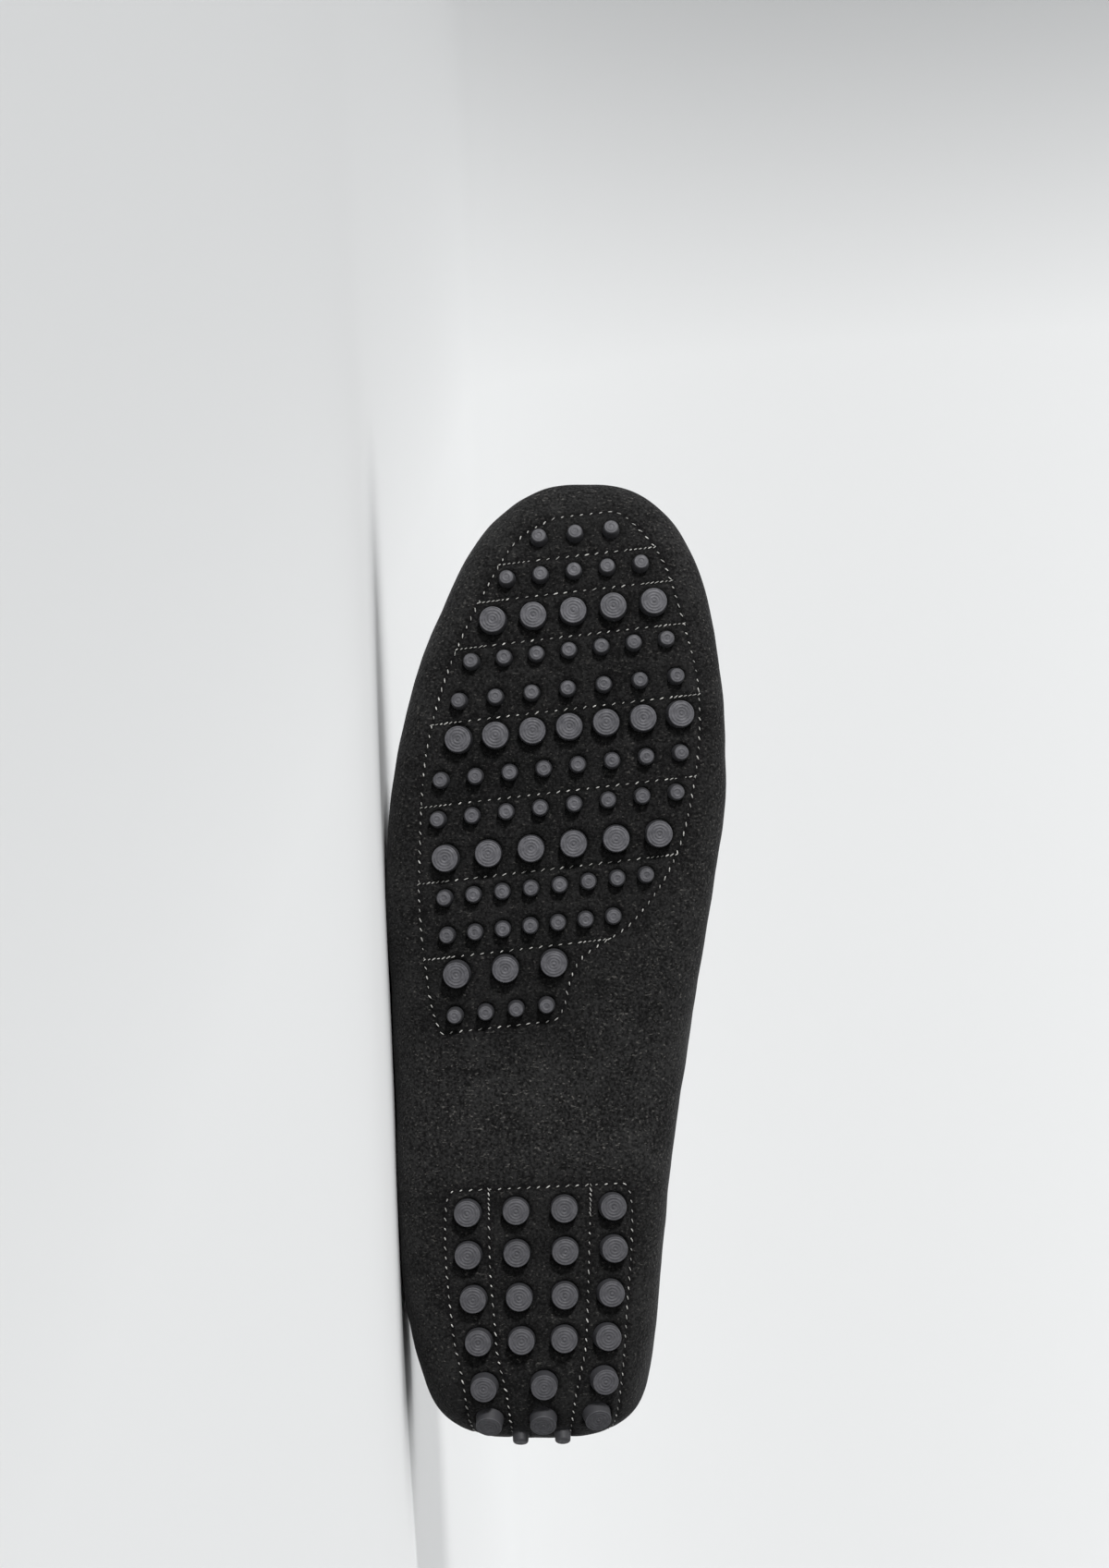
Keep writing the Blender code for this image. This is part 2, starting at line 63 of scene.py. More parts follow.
UP = np.array((0.0, 0.0, 1.0))
Number = float | np.ndarray


def length_along(path: np.ndarray) -> np.ndarray:
    """Gives how far along a path each of its points is."""
    return np.concatenate([[0], np.cumsum(np.linalg.norm(np.diff(path, axis=0), axis=1))])


def read_along(at: Number, run: np.ndarray, rows: np.ndarray) -> np.ndarray:
    """Reads rows of values at places between those that they were given for.

    Args:
        at: The wanted places.
        run: The rows' own places.
        rows: The rows.

    Returns:
        A row for each wanted place.
    """
    return np.stack([np.interp(at, run, column) for column in rows.T], axis=-1)


def eased(steps: int) -> np.ndarray:
    """Gives places from -1 to 1 that are closer together at both ends."""
    return np.sin(np.linspace(-math.pi / 2, math.pi / 2, steps + 1))


def bell(distance: np.ndarray, width: float) -> np.ndarray:
    """Fades from 1 to 0 with the distance, over about the given width."""
    return np.exp(-((distance / width) ** 2))


def rough(points: np.ndarray, scale: float) -> np.ndarray:
    """Gives each point a smooth random value, with about scale waves to the metre."""
    return np.array([noise.noise(Vector(point) * scale) for point in points])


class Curve:
    """A smooth curve through one column of a table, with slopes taken from the neighbouring rows."""

    def __init__(self, rows: Sequence[tuple[float, ...]], column: int) -> None:
        """Reads the curve from a table.

        Args:
            rows: The table, whose first column is the place along the shoe.
            column: The column that the curve runs through.
        """
        self.along = np.array([row[0] for row in rows])
        self.values = np.array([row[column] for row in rows])
        self.slopes = np.gradient(self.values, self.along)

    def __call__(self, at: Number) -> np.ndarray:
        """Reads the curve.

        Args:
            at: One place along the shoe, or many.

        Returns:
            The curve's height there, which keeps its end value past either end.
        """
        at = np.clip(at, self.along[0], self.along[-1])
        i = np.clip(np.searchsorted(self.along, at, side="right") - 1, 0, len(self.along) - 2)
        width = self.along[i + 1] - self.along[i]
        t = (at - self.along[i]) / width
        return (
            (1 + 2 * t) * (1 - t) ** 2 * self.values[i]
            + t * (1 - t) ** 2 * width * self.slopes[i]
            + t * t * (3 - 2 * t) * self.values[i + 1]
            + t * t * (t - 1) * width * self.slopes[i + 1]
        )


@dataclass(frozen=True)
class Cut:
    """Cross-sections of the last at one or many stations."""

    middle: Number
    half: Number
    level: Number
    below: Number
    above: Number
    squareness: Number


@dataclass(frozen=True)
class Last:
    """The form that the shoe is made on, as closed cross-sections along its length.

    Each row of sections gives a share of the length, the outer and inner edge as shares of the ball's
    width, the height of the widest line, the height of the ridge and the squareness of the arch.
    """

    length: float = 284 * MM
    ball_width: float = 101.4 * MM
    heel_side_height: float = 16.5 * MM
    instep_height: float = 80 * MM
    toe_spring: float = 10 * MM
    arch_rise: float = 2.5 * MM
    stud_height: float = 3.2 * MM
    heel_round: float = 0.12
    heel_round_powers: tuple[float, float] = (3.0, 3.0)
    toe_round: float = 0.14
    toe_round_powers: tuple[float, float] = (3.0, 2.5)
    underside_squareness: float = 3.8
    spring_start: float = 0.70
    spring_power: float = 1.8
    arch_span: tuple[float, float] = (0.25, 0.55)
    heel_turn_radius: float = 28 * MM
    slant_pivot: float = 7 * MM
    ring_samples: int = 900
    sections: tuple[tuple[float, ...], ...] = (
        (0.000, 0.333, 0.366, 1.75, 1.17, 2.60), (0.065, 0.331, 0.350, 1.72, 1.20, 2.60),
        (0.145, 0.372, 0.369, 1.35, 1.22, 2.70), (0.250, 0.394, 0.394, 1.20, 1.22, 2.80),
        (0.380, 0.404, 0.443, 1.35, 1.18, 2.80), (0.500, 0.419, 0.494, 1.22, 1.06, 2.70),
        (0.575, 0.429, 0.527, 0.98, 0.93, 2.55), (0.650, 0.418, 0.557, 0.89, 0.81, 2.40),
        (0.730, 0.385, 0.563, 0.88, 0.715, 2.35), (0.810, 0.329, 0.546, 0.87, 0.625, 2.30),
        (0.870, 0.262, 0.516, 0.85, 0.545, 2.25), (0.930, 0.196, 0.478, 0.82, 0.465, 2.20),
        (1.000, 0.123, 0.434, 0.78, 0.380, 2.20),
    )
    topline: tuple[tuple[float, float], ...] = (
        (-0.10, 0.93), (0.00, 0.88), (0.07, 0.82), (0.16, 0.735), (0.27, 0.70), (0.37, 0.72), (0.45, 0.79),
        (0.52, 0.90), (0.57, 1.02), (0.62, 1.20),
    )
    curves: dict[str, Curve] = field(init=False, repr=False)

    def __post_init__(self) -> None:
        """Makes a smooth curve of each column of the tables."""
        names = ("lateral", "medial", "widest", "top", "squareness")
        curves = {name: Curve(self.sections, i + 1) for i, name in enumerate(names)}
        curves["topline"] = Curve(self.topline, 1)
        object.__setattr__(self, "curves", curves)

    @property
    def heel_turn(self) -> float:
        """The place where the heel patch starts to turn up the heel's back."""
        return self.heel_round * self.length

    def closure(self, share: Number) -> np.ndarray:
        """Gives how far the last has opened from its rounded ends.

        Args:
            share: One share of the length, or many.

        Returns:
            0 at either tip and 1 between the ends.
        """
        share = np.clip(share, 0.0, 1.0)
        power, root = self.heel_round_powers
        heel = (1 - np.clip(1 - share / self.heel_round, 0, 1) ** power) ** (1 / root)
        power, root = self.toe_round_powers
        into_toe = np.clip((share - 1 + self.toe_round) / self.toe_round, 0, 1)
        return heel * (1 - into_toe**power) ** (1 / root)

    def underside(self, share: Number) -> np.ndarray:
        """Gives the height of the suede's underside over the ground, with arch and toe spring.

        Args:
            share: One share of the length, or many.

        Returns:
            The height in metres.
        """
        spring = np.clip((share - self.spring_start) / (1 - self.spring_start), 0, None)
        low, high = self.arch_span
        arch = np.clip((share - low) / (high - low), 0, 1)
        lift = self.toe_spring * spring**self.spring_power
        return self.stud_height + lift + self.arch_rise * np.sin(np.pi * arch) ** 2

    def cut(self, x: Number) -> Cut:
        """Gives the cross-section at one distance from the heel, or at many.

        Args:
            x: The distance from the back of the heel.

        Returns:
            The sizes of the cross-section.
        """
        share = np.clip(x / self.length, 0.0, 1.0)
        opened = self.closure(share)
        lateral = self.curves["lateral"](share) * self.ball_width
        medial = self.curves["medial"](share) * self.ball_width
        below = self.curves["widest"](share) * self.heel_side_height
        ridge = self.curves["top"](share) * self.instep_height
        return Cut(
            middle=(medial - lateral) / 2,
            half=(medial + lateral) / 2 * opened,
            level=self.underside(share) + below,
            below=below * opened,
            above=(ridge - below) * opened,
            squareness=self.curves["squareness"](share),
        )

    def ring(self, x: float) -> tuple[np.ndarray, np.ndarray, np.ndarray]:
        """Walks once round a cross-section, from the ridge by the outer side, underside and inner side.

        Args:
            x: The station.

        Returns:
            The distance walked, 0 at the middle of the underside, and the points' Y and Z.
        """
        cut = self.cut(x)
        turn = np.linspace(-1.5 * math.pi, 0.5 * math.pi, self.ring_samples)
        across, up = np.cos(turn), np.sin(turn)
        power = np.where(up < 0, self.underside_squareness, cut.squareness)
        height = np.where(up < 0, cut.below, cut.above)
        y = cut.middle + cut.half * np.sign(across) * np.abs(across) ** (2 / power)
        z = cut.level + height * np.sign(up) * np.abs(up) ** (2 / power)
        run = np.concatenate([[0], np.cumsum(np.hypot(np.diff(y), np.diff(z)))])
        return run - np.interp(-0.5 * math.pi, turn, run), y, z

    def walked(self, x: float, at: Number) -> np.ndarray:
        """Gives the points at distances walked round one cross-section from the middle of its underside."""
        run, y, z = self.ring(x)
        return np.stack([np.full_like(at, x), np.interp(at, run, y), np.interp(at, run, z)], axis=-1)

    def outside(self, points: np.ndarray) -> np.ndarray:
        """Tells which points are outside the last.

        Args:
            points: Rows of X, Y and Z.

        Returns:
            Values that are negative inside the last, 0 on it and positive outside.
        """
        cut = self.cut(points[:, 0])
        under = points[:, 2] < cut.level
        height = np.maximum(np.where(under, cut.below, cut.above), 1e-9)
        half = np.maximum(cut.half, 1e-9)
        power = np.where(under, self.underside_squareness, cut.squareness)
        across = np.abs((points[:, 1] - cut.middle) / half) ** power
        away = across + np.abs((points[:, 2] - cut.level) / height) ** power - 1
        return np.where((points[:, 0] > 0) & (points[:, 0] < self.length), away, 1.0)

    def outward(self, points: np.ndarray) -> np.ndarray:
        """Gives the last's outward normals.

        Args:
            points: Rows of X, Y and Z on the surface.

        Returns:
            Rows of unit normals.
        """
        step = 0.05 * MM
        inner = points.copy()
        inner[:, 0] = np.clip(inner[:, 0], 2 * step, self.length - 2 * step)
        slope = np.empty_like(points)
        for axis in range(3):
            shift = np.zeros(3)
            shift[axis] = step
            slope[:, axis] = self.outside(inner + shift) - self.outside(inner - shift)
        return slope / np.maximum(np.linalg.norm(slope, axis=1, keepdims=True), 1e-12)

    def reach(self, starts: np.ndarray, ways: np.ndarray) -> np.ndarray:
        """Finds where rays from inside the last meet its surface.

        Args:
            starts: Rows of points inside the last.
            ways: Rows of unit directions.

        Returns:
            Rows of points on the surface.
        """
        near = np.zeros(len(starts))
        far = np.full(len(starts), self.length / 2)
        for _ in range(30):
            half = (near + far) / 2
            out = self.outside(starts + ways * half[:, None]) > 0
            far = np.where(out, half, far)
            near = np.where(out, near, half)
        return starts + ways * near[:, None]

    def on_sole(self, along: np.ndarray, y: np.ndarray, slant: float) -> tuple[np.ndarray, np.ndarray]:
        """Finds places on the underside, which goes on up the heel's back.

        Args:
            along: Shares of the length; behind the heel's turn they count round the heel's back.
            y: Distances from the heel's middle line.
            slant: How much a row leans towards the toe on the inner side.

        Returns:
            Rows of points and of outward normals.
        """
        x = along * self.length + slant * (y - self.slant_pivot)
        turn = np.clip((self.heel_turn - x) / self.heel_turn_radius, 0, None)
        start_x = np.maximum(x, self.heel_turn)
        starts = np.stack([start_x, y, self.cut(start_x).level], axis=1)
        ways = np.stack([-np.sin(turn), np.zeros_like(turn), -np.cos(turn)], axis=1)
        points = self.reach(starts, ways)
        return points, self.outward(points)

    def on_top(self, x: np.ndarray, y: np.ndarray) -> np.ndarray:
        """Finds places on the top of the last over points of its plan.

        Args:
            x: Distances from the back of the heel.
            y: Distances from the heel's middle line.

        Returns:
            Rows of points.
        """
        cut = self.cut(x)
        across = np.clip(np.abs((y - cut.middle) / np.maximum(cut.half, 1e-9)), 0, 1)
        rise = (1 - across**cut.squareness) ** (1 / cut.squareness)
        return np.stack([x, y, cut.level + cut.above * rise], axis=1)


@dataclass(frozen=True)
class Pose:
    """How the last's frame lies in the world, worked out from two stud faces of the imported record."""

    matrix: Matrix

    @classmethod
    def from_record(cls, record: dict, heel: Vector, forefoot: Vector) -> "Pose":
        """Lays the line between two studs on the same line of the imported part.

        Args:
            record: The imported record, which has a mount on each stud's face.
            heel: The heel stud's face in the last's frame.
            forefoot: The forefoot stud's face in the last's frame.

        Returns:
            The pose.
        """
        places = {mount["name"]: Vector(mount["pos_m"]) for mount in record["mounts"]}
        start, end = places["heel_stud_face"], places["forefoot_stud_face"]
        run, flat = end - start, forefoot - heel
        yaw = math.atan2(run.z, -run.x) - math.atan2(flat.y, flat.x)
        lay = Matrix(((-1, 0, 0), (0, 0, 1), (0, 1, 0))).to_4x4() @ Matrix.Rotation(yaw, 4, "Z")
        return cls(Matrix.Translation(start - lay @ heel) @ lay)


class Side(Enum):
    """The two sides of the foot, by the sign of Y."""

    LATERAL = -1
    MEDIAL = 1


@dataclass(frozen=True)
class StudRow:
    """A slanted row of studs; its end studs are shares of the ball's width."""

    along: float
    lateral: float
    medial: float
    count: int
    big: bool


@dataclass(frozen=True)
class StudPatch:
    """One rubber plate with its studs, and the stitching round and across it.

    The outline's rows give a share of the length and the outer and inner edge. A cross seam is a share of
    the length, and a long seam is a row of (along, across) pairs.
    """

    name: str
    slant: float
    outline: tuple[tuple[float, float, float], ...]
    rows: tuple[StudRow, ...]
    cross_seams: tuple[float, ...] = ()
    long_seams: tuple[tuple[tuple[float, float], ...], ...] = ()

    def studs(self, last: Last, big: bool) -> tuple[np.ndarray, np.ndarray]:
        """Places the studs of one size.

        Args:
            last: The last that they stand on.
            big: Whether the big or the small studs are wanted.

        Returns:
            Rows of points on the suede and of outward normals.
        """
        along, y = [], []
        for row in self.rows:
            if row.big == big:
                along += [row.along] * row.count
                y += list(np.linspace(row.lateral, row.medial, row.count) * last.ball_width)
        return last.on_sole(np.array(along), np.array(y), self.slant)

    def edge(self, along: Number, side: Side) -> np.ndarray:
        """Reads the outline's edge on one side, as a share of the ball's width."""
        return Curve(self.outline, 1 if side is Side.LATERAL else 2)(along)

    def seams(self) -> Iterator[tuple[np.ndarray, np.ndarray, bool]]:
        """Gives every line of stitching.

        Yields:
            Its points' shares of the length, their shares of the ball's width, and whether it is closed.
        """
        first, end = self.outline[0][0], self.outline[-1][0]
        up = np.linspace(first, end, 90)
        low, high = self.edge(up, Side.LATERAL), self.edge(up, Side.MEDIAL)
        across = np.linspace(0, 1, 20)[1:-1]
        over_end = low[-1] + (high[-1] - low[-1]) * across
        over_start = high[0] + (low[0] - high[0]) * across
        at_end, at_start = np.full_like(across, end), np.full_like(across, first)
        yield (
            np.concatenate([up, at_end, up[::-1], at_start]),
            np.concatenate([low, over_end, high[::-1], over_start]),
            True,
        )
        for along in self.cross_seams:
            ends = self.edge(along, Side.LATERAL), self.edge(along, Side.MEDIAL)
            yield np.full(40, along), np.linspace(*ends, 40), False
        for seam in self.long_seams:
            line = Curve(seam, 1)
            along_line = np.linspace(line.along[0], line.along[-1], 60)
            yield along_line, line(along_line), False


FOREFOOT = StudPatch(
    name="forefoot",
    slant=0.116,
    outline=(
        (0.4415, -0.262, 0.066), (0.4500, -0.274, 0.086), (0.4700, -0.291, 0.101), (0.4920, -0.302, 0.122),
        (0.5040, -0.306, 0.145), (0.5120, -0.309, 0.180), (0.5290, -0.316, 0.272), (0.5430, -0.320, 0.313),
        (0.5620, -0.324, 0.358), (0.5860, -0.328, 0.400), (0.6150, -0.327, 0.434), (0.6400, -0.325, 0.452),
        (0.6720, -0.322, 0.469), (0.7022, -0.317, 0.480), (0.7423, -0.302, 0.484), (0.7823, -0.275, 0.476),
        (0.8209, -0.238, 0.450), (0.8617, -0.186, 0.419), (0.9035, -0.122, 0.379), (0.9259, -0.084, 0.343),
        (0.9432, -0.043, 0.302), (0.9551, 0.010, 0.272), (0.9625, 0.068, 0.238),
    ),
    rows=(
        StudRow(0.9418, 0.019, 0.228, 3, False),
        StudRow(0.9031, -0.073, 0.313, 5, False),
        StudRow(0.8613, -0.113, 0.349, 5, True),
        StudRow(0.8216, -0.175, 0.386, 7, False),
        StudRow(0.7822, -0.210, 0.414, 7, False),
        StudRow(0.7427, -0.212, 0.425, 7, True),
        StudRow(0.7029, -0.262, 0.426, 8, False),
        StudRow(0.6628, -0.271, 0.414, 8, False),
        StudRow(0.6220, -0.249, 0.364, 6, True),
        StudRow(0.5813, -0.252, 0.327, 8, False),
        StudRow(0.5427, -0.244, 0.233, 7, False),
        StudRow(0.5017, -0.217, 0.062, 3, True),
        StudRow(0.4589, -0.222, 0.041, 4, False),
    ),
    cross_seams=(0.9195, 0.8823, 0.8364, 0.7611, 0.6770, 0.5985, 0.5195),
)

HEEL = StudPatch(
    name="heel",
    slant=0.045,
    outline=(
        (-0.046, -0.145, 0.205), (-0.020, -0.158, 0.222), (0.005, -0.172, 0.238), (0.032, -0.187, 0.251),
        (0.057, -0.197, 0.260), (0.085, -0.211, 0.266), (0.107, -0.223, 0.269), (0.140, -0.234, 0.274),
        (0.165, -0.242, 0.279), (0.196, -0.249, 0.286), (0.225, -0.252, 0.289), (0.250, -0.250, 0.287),
        (0.263, -0.245, 0.280), (0.271, -0.230, 0.265),
    ),
    rows=(
        StudRow(0.2480, -0.186, 0.231, 4, True),
        StudRow(0.2045, -0.184, 0.234, 4, True),
        StudRow(0.1590, -0.169, 0.225, 4, True),
        StudRow(0.1133, -0.154, 0.215, 4, True),
        StudRow(0.0640, -0.138, 0.206, 3, True),
        StudRow(0.0290, -0.123, 0.186, 3, True),
        StudRow(0.0060, -0.034, 0.088, 2, False),
    ),
    long_seams=(
        (
            (-0.040, -0.046), (0.000, -0.056), (0.032, -0.065), (0.060, -0.077), (0.080, -0.091),
            (0.098, -0.101), (0.126, -0.107), (0.158, -0.115), (0.186, -0.121), (0.220, -0.124),
            (0.271, -0.126),
        ),
        (
            (-0.040, 0.098), (0.000, 0.108), (0.030, 0.118), (0.050, 0.126), (0.076, 0.142), (0.092, 0.151),
            (0.126, 0.158), (0.158, 0.161), (0.196, 0.164), (0.238, 0.167), (0.271, 0.169),
        ),
    ),
)


@dataclass(frozen=True)
class Stud:
    """One size of rubber stud as a turned shape. Its profile is worked out from its radius and height."""

    radius: float
    height: float
    edge: float
    segments: int
    root: float = 2.6 * MM
    flare: float = 0.30 * MM
    dot_share: float = 0.09
    dot_rise: float = 0.06 * MM
    moat_depth: float = 0.05 * MM

    def profile(self) -> list[tuple[float, float]]:
        """Gives the turned outline, from the root up to the middle of the face, as (radius, height)."""
        bend = [
            (self.radius - self.edge * (1 - math.cos(a)), self.height - self.edge * (1 - math.sin(a)))
            for a in np.linspace(0, math.pi / 2, 5)
        ]
        dot = self.dot_share * self.radius
        return [
            (self.radius + self.flare, -self.root),
            (self.radius + self.flare, 0.0),
            (self.radius + 0.3 * self.flare, 0.35 * self.height),
            *bend,
            (0.62 * self.radius, self.height),
            (2.2 * dot, self.height),
            (1.3 * dot, self.height - self.moat_depth),
            (dot, self.height + self.dot_rise - 0.02 * MM),
            (0.0, self.height + self.dot_rise),
        ]

    def turned(self) -> bmesh.types.BMesh:
        """Spins the profile round +Z.

        Returns:
            A bmesh with a layer for the distance from the axis and one for the face's share.
        """
        bm = bmesh.new()
        spots = [bm.verts.new((r, 0, z)) for r, z in self.profile()]
        edges = [bm.edges.new(pair) for pair in zip(spots, spots[1:])]
        spin = {"cent": (0, 0, 0), "axis": (0, 0, 1), "angle": 2 * math.pi, "use_merge": True}
        bmesh.ops.spin(bm, geom=spots + edges, steps=self.segments, **spin)
        bmesh.ops.remove_doubles(bm, verts=bm.verts, dist=0.004 * MM)
        bmesh.ops.recalc_face_normals(bm, faces=bm.faces)
        turn_faces(bm, lambda middles: UP)
        face_from = self.height - 0.2 * self.edge - 0.06 * MM
        paint(bm, "turn_radius", [math.hypot(v.co.x, v.co.y) / MM for v in bm.verts])
        paint(bm, "stud_face", [float(v.co.z > face_from) for v in bm.verts])
        return bm


@dataclass(frozen=True)
class Signal:
    """A socket of a material, with arithmetic that adds Math nodes."""

    tree: bpy.types.NodeTree
    socket: bpy.types.NodeSocket

    def _join(self, operation: str, *values: "Signal | float") -> "Signal":
        """Adds a Math node.

        Args:
            operation: The node's operation.
            values: The inputs, in order.

        Returns:
            The node's output.
        """
        node = self.tree.nodes.new("ShaderNodeMath")
        node.operation = operation
        for socket, value in zip(node.inputs, values):
            if isinstance(value, Signal):
                self.tree.links.new(value.socket, socket)
            else:
                socket.default_value = value
        return Signal(self.tree, node.outputs[0])

    def __add__(self, other: "Signal | float") -> "Signal":
        """Adds."""
        return self._join("ADD", self, other)

    __radd__ = __add__

    def __sub__(self, other: "Signal | float") -> "Signal":
        """Subtracts."""
        return self._join("SUBTRACT", self, other)

    def __rsub__(self, other: float) -> "Signal":
        """Subtracts this from a number."""
        return self._join("SUBTRACT", other, self)

    def __mul__(self, other: "Signal | float") -> "Signal":
        """Multiplies."""
        return self._join("MULTIPLY", self, other)

    __rmul__ = __mul__

    def __pow__(self, other: float) -> "Signal":
        """Raises to a power."""
        return self._join("POWER", self, other)

    def sine(self) -> "Signal":
        """Takes the sine."""
        return self._join("SINE", self)


class Coat:
    """A material under construction, with one Principled shader."""

    def __init__(self, name: str, **constants: float | tuple[float, ...]) -> None:
        """Starts the material.

        Args:
            name: The material's name.
            constants: Values for the shader's own sockets, with _ for each space of a socket's name.
        """
        self.material = bpy.data.materials.new(name)
        self.material.use_nodes = True
        self.tree = self.material.node_tree
        self.shader = self.tree.nodes["Principled BSDF"]
        for key, value in constants.items():
            self.shader.inputs[key.replace("_", " ")].default_value = value

    def add(self, kind: str, settings: dict | None = None, **values: object) -> bpy.types.Node:
        """Adds a node.

        Args:
            kind: The node's type.
            settings: Properties that are set before its sockets.
            values: Values or signals for its sockets, with _ for each space of a socket's name.

        Returns:
            The node.
        """
        node = self.tree.nodes.new(kind)
        for key, value in (settings or {}).items():
            setattr(node, key, value)
        for key, value in values.items():
            socket = node.inputs[key.replace("_", " ")]
            if isinstance(value, Signal):
                self.tree.links.new(value.socket, socket)
            else:
                socket.default_value = value
        return node

    def signal(self, node: bpy.types.Node, output: str) -> Signal:
        """Wraps one output of a node."""
        return Signal(self.tree, node.outputs[output])

    def place(self) -> Signal:
        """Gives the object coordinates."""
        return self.signal(self.add("ShaderNodeTexCoord"), "Object")

    def attribute(self, name: str) -> Signal:
        """Gives a float that the mesh carries."""
        return self.signal(self.add("ShaderNodeAttribute", {"attribute_name": name}), "Fac")

    def grain(self, scale: float, detail: float = 3.0, stretch: tuple[float, ...] | None = None) -> Signal:
        """Adds a noise pattern.

        Args:
            scale: How many patches it has to the metre.
            detail: How many finer layers it has.
            stretch: Scales along the axes, for a pattern with a direction.

        Returns:
            The pattern, about 0.5 on average.
        """
        place = self.place()
        if stretch:
            mapping = self.add("ShaderNodeMapping", None, Vector=place, Scale=stretch)
            place = self.signal(mapping, "Vector")
        node = self.add("ShaderNodeTexNoise", None, Vector=place, Scale=scale, Detail=detail)
        return self.signal(node, "Fac")

    def ramp(self, value: Signal, low: float, high: float) -> Signal:
        """Stretches a signal so that low becomes 0 and high becomes 1, clipped."""
        return self.signal(
            self.add("ShaderNodeMapRange", None, Value=value, From_Min=low, From_Max=high), "Result"
        )

    def mix(self, share: Signal, low: tuple[float, ...] | Signal, high: tuple[float, ...] | Signal) -> Signal:
        """Mixes two colours.

        Args:
            share: 0 for the first colour and 1 for the second.
            low: The first colour, as numbers or a signal.
            high: The second colour.

        Returns:
            The mixed colour.
        """
        node = self.add("ShaderNodeMix", {"data_type": "RGBA"})
        self.tree.links.new(share.socket, node.inputs[0])
        for socket, value in ((node.inputs[6], low), (node.inputs[7], high)):
            if isinstance(value, Signal):
                self.tree.links.new(value.socket, socket)
            else:
                socket.default_value = (*value, 1.0)
        return Signal(self.tree, node.outputs[2])

    def bump(self, height: Signal, depth: float, strength: float) -> None:
        """Raises the surface by a pattern.

        Args:
            height: The pattern.
            depth: How high one whole unit stands, in metres.
            strength: The bump's strength.
        """
        node = self.add("ShaderNodeBump", None, Height=height, Distance=depth, Strength=strength)
        previous = self.shader.inputs["Normal"].links
        if previous:
            self.tree.links.new(previous[0].from_socket, node.inputs["Normal"])
        self.tree.links.new(node.outputs["Normal"], self.shader.inputs["Normal"])

    def feed(self, socket: str, value: Signal) -> None:
        """Links a signal to one of the shader's sockets."""
        self.tree.links.new(value.socket, self.shader.inputs[socket])


@dataclass(frozen=True)
class Suede:
    """Black suede with a short speckled nap. Painted shade darkens it between the studs, in the seam grooves,
    round the studs' rims and inside their holes, over a slightly darker tone.
    """

    deep: tuple[float, float, float] = (0.0022, 0.0022, 0.0022)
    raised: tuple[float, float, float] = (0.0215, 0.0213, 0.0212)
    fleck: tuple[float, float, float] = (0.105, 0.101, 0.094)
    # Painted shade: the near-black colour of the grooves, the studs' rims and holes, and the shade between
    # the studs.
    hollow: tuple[float, float, float] = (0.0012, 0.0012, 0.0012)
    # How far a darker tone, and painted shade between the studs, darken the suede.
    tone_and_shade_share: float = 0.45
    nap_depth: float = 0.75 * MM
    nap_scale: float = 1250.0
    patch_scale: float = 95.0

    def material(self) -> bpy.types.Material:
        """Builds the material."""
        coat = Coat(
            "black_suede",
            Roughness=0.95,
            Specular_IOR_Level=0.12,
            Sheen_Weight=0.06,
            Sheen_Roughness=0.5,
            Sheen_Tint=(0.72, 0.72, 0.74, 1.0),
        )
        nap = coat.grain(self.nap_scale, 2.0)
        fibres = coat.grain(self.nap_scale * 1.3, 2.0, (1.0, 1.0, 0.6))
        patches = coat.grain(self.patch_scale, 4.0)
        tone = coat.ramp(nap * 0.72 + patches * 0.28, 0.40, 0.62)
        colour = coat.mix(tone, self.deep, self.raised)
        colour = coat.mix(coat.ramp(fibres, 0.60, 0.80), colour, self.fleck)
        # A darker tone over all the suede, deepened between the studs as painted shade.
        dark = coat.attribute("rubbed") * self.tone_and_shade_share
        colour = coat.mix(dark, colour, self.hollow)
        # Painted shade in the seam grooves, round the studs' rims and on the holes' walls.
        colour = coat.mix(coat.attribute("hollow"), colour, self.hollow)
        coat.feed("Base Color", colour)
        coat.bump(nap * 0.6 + fibres * 0.4, self.nap_depth, 0.8)
        coat.bump(patches, 2.2 * MM, 0.3)
        return coat.material


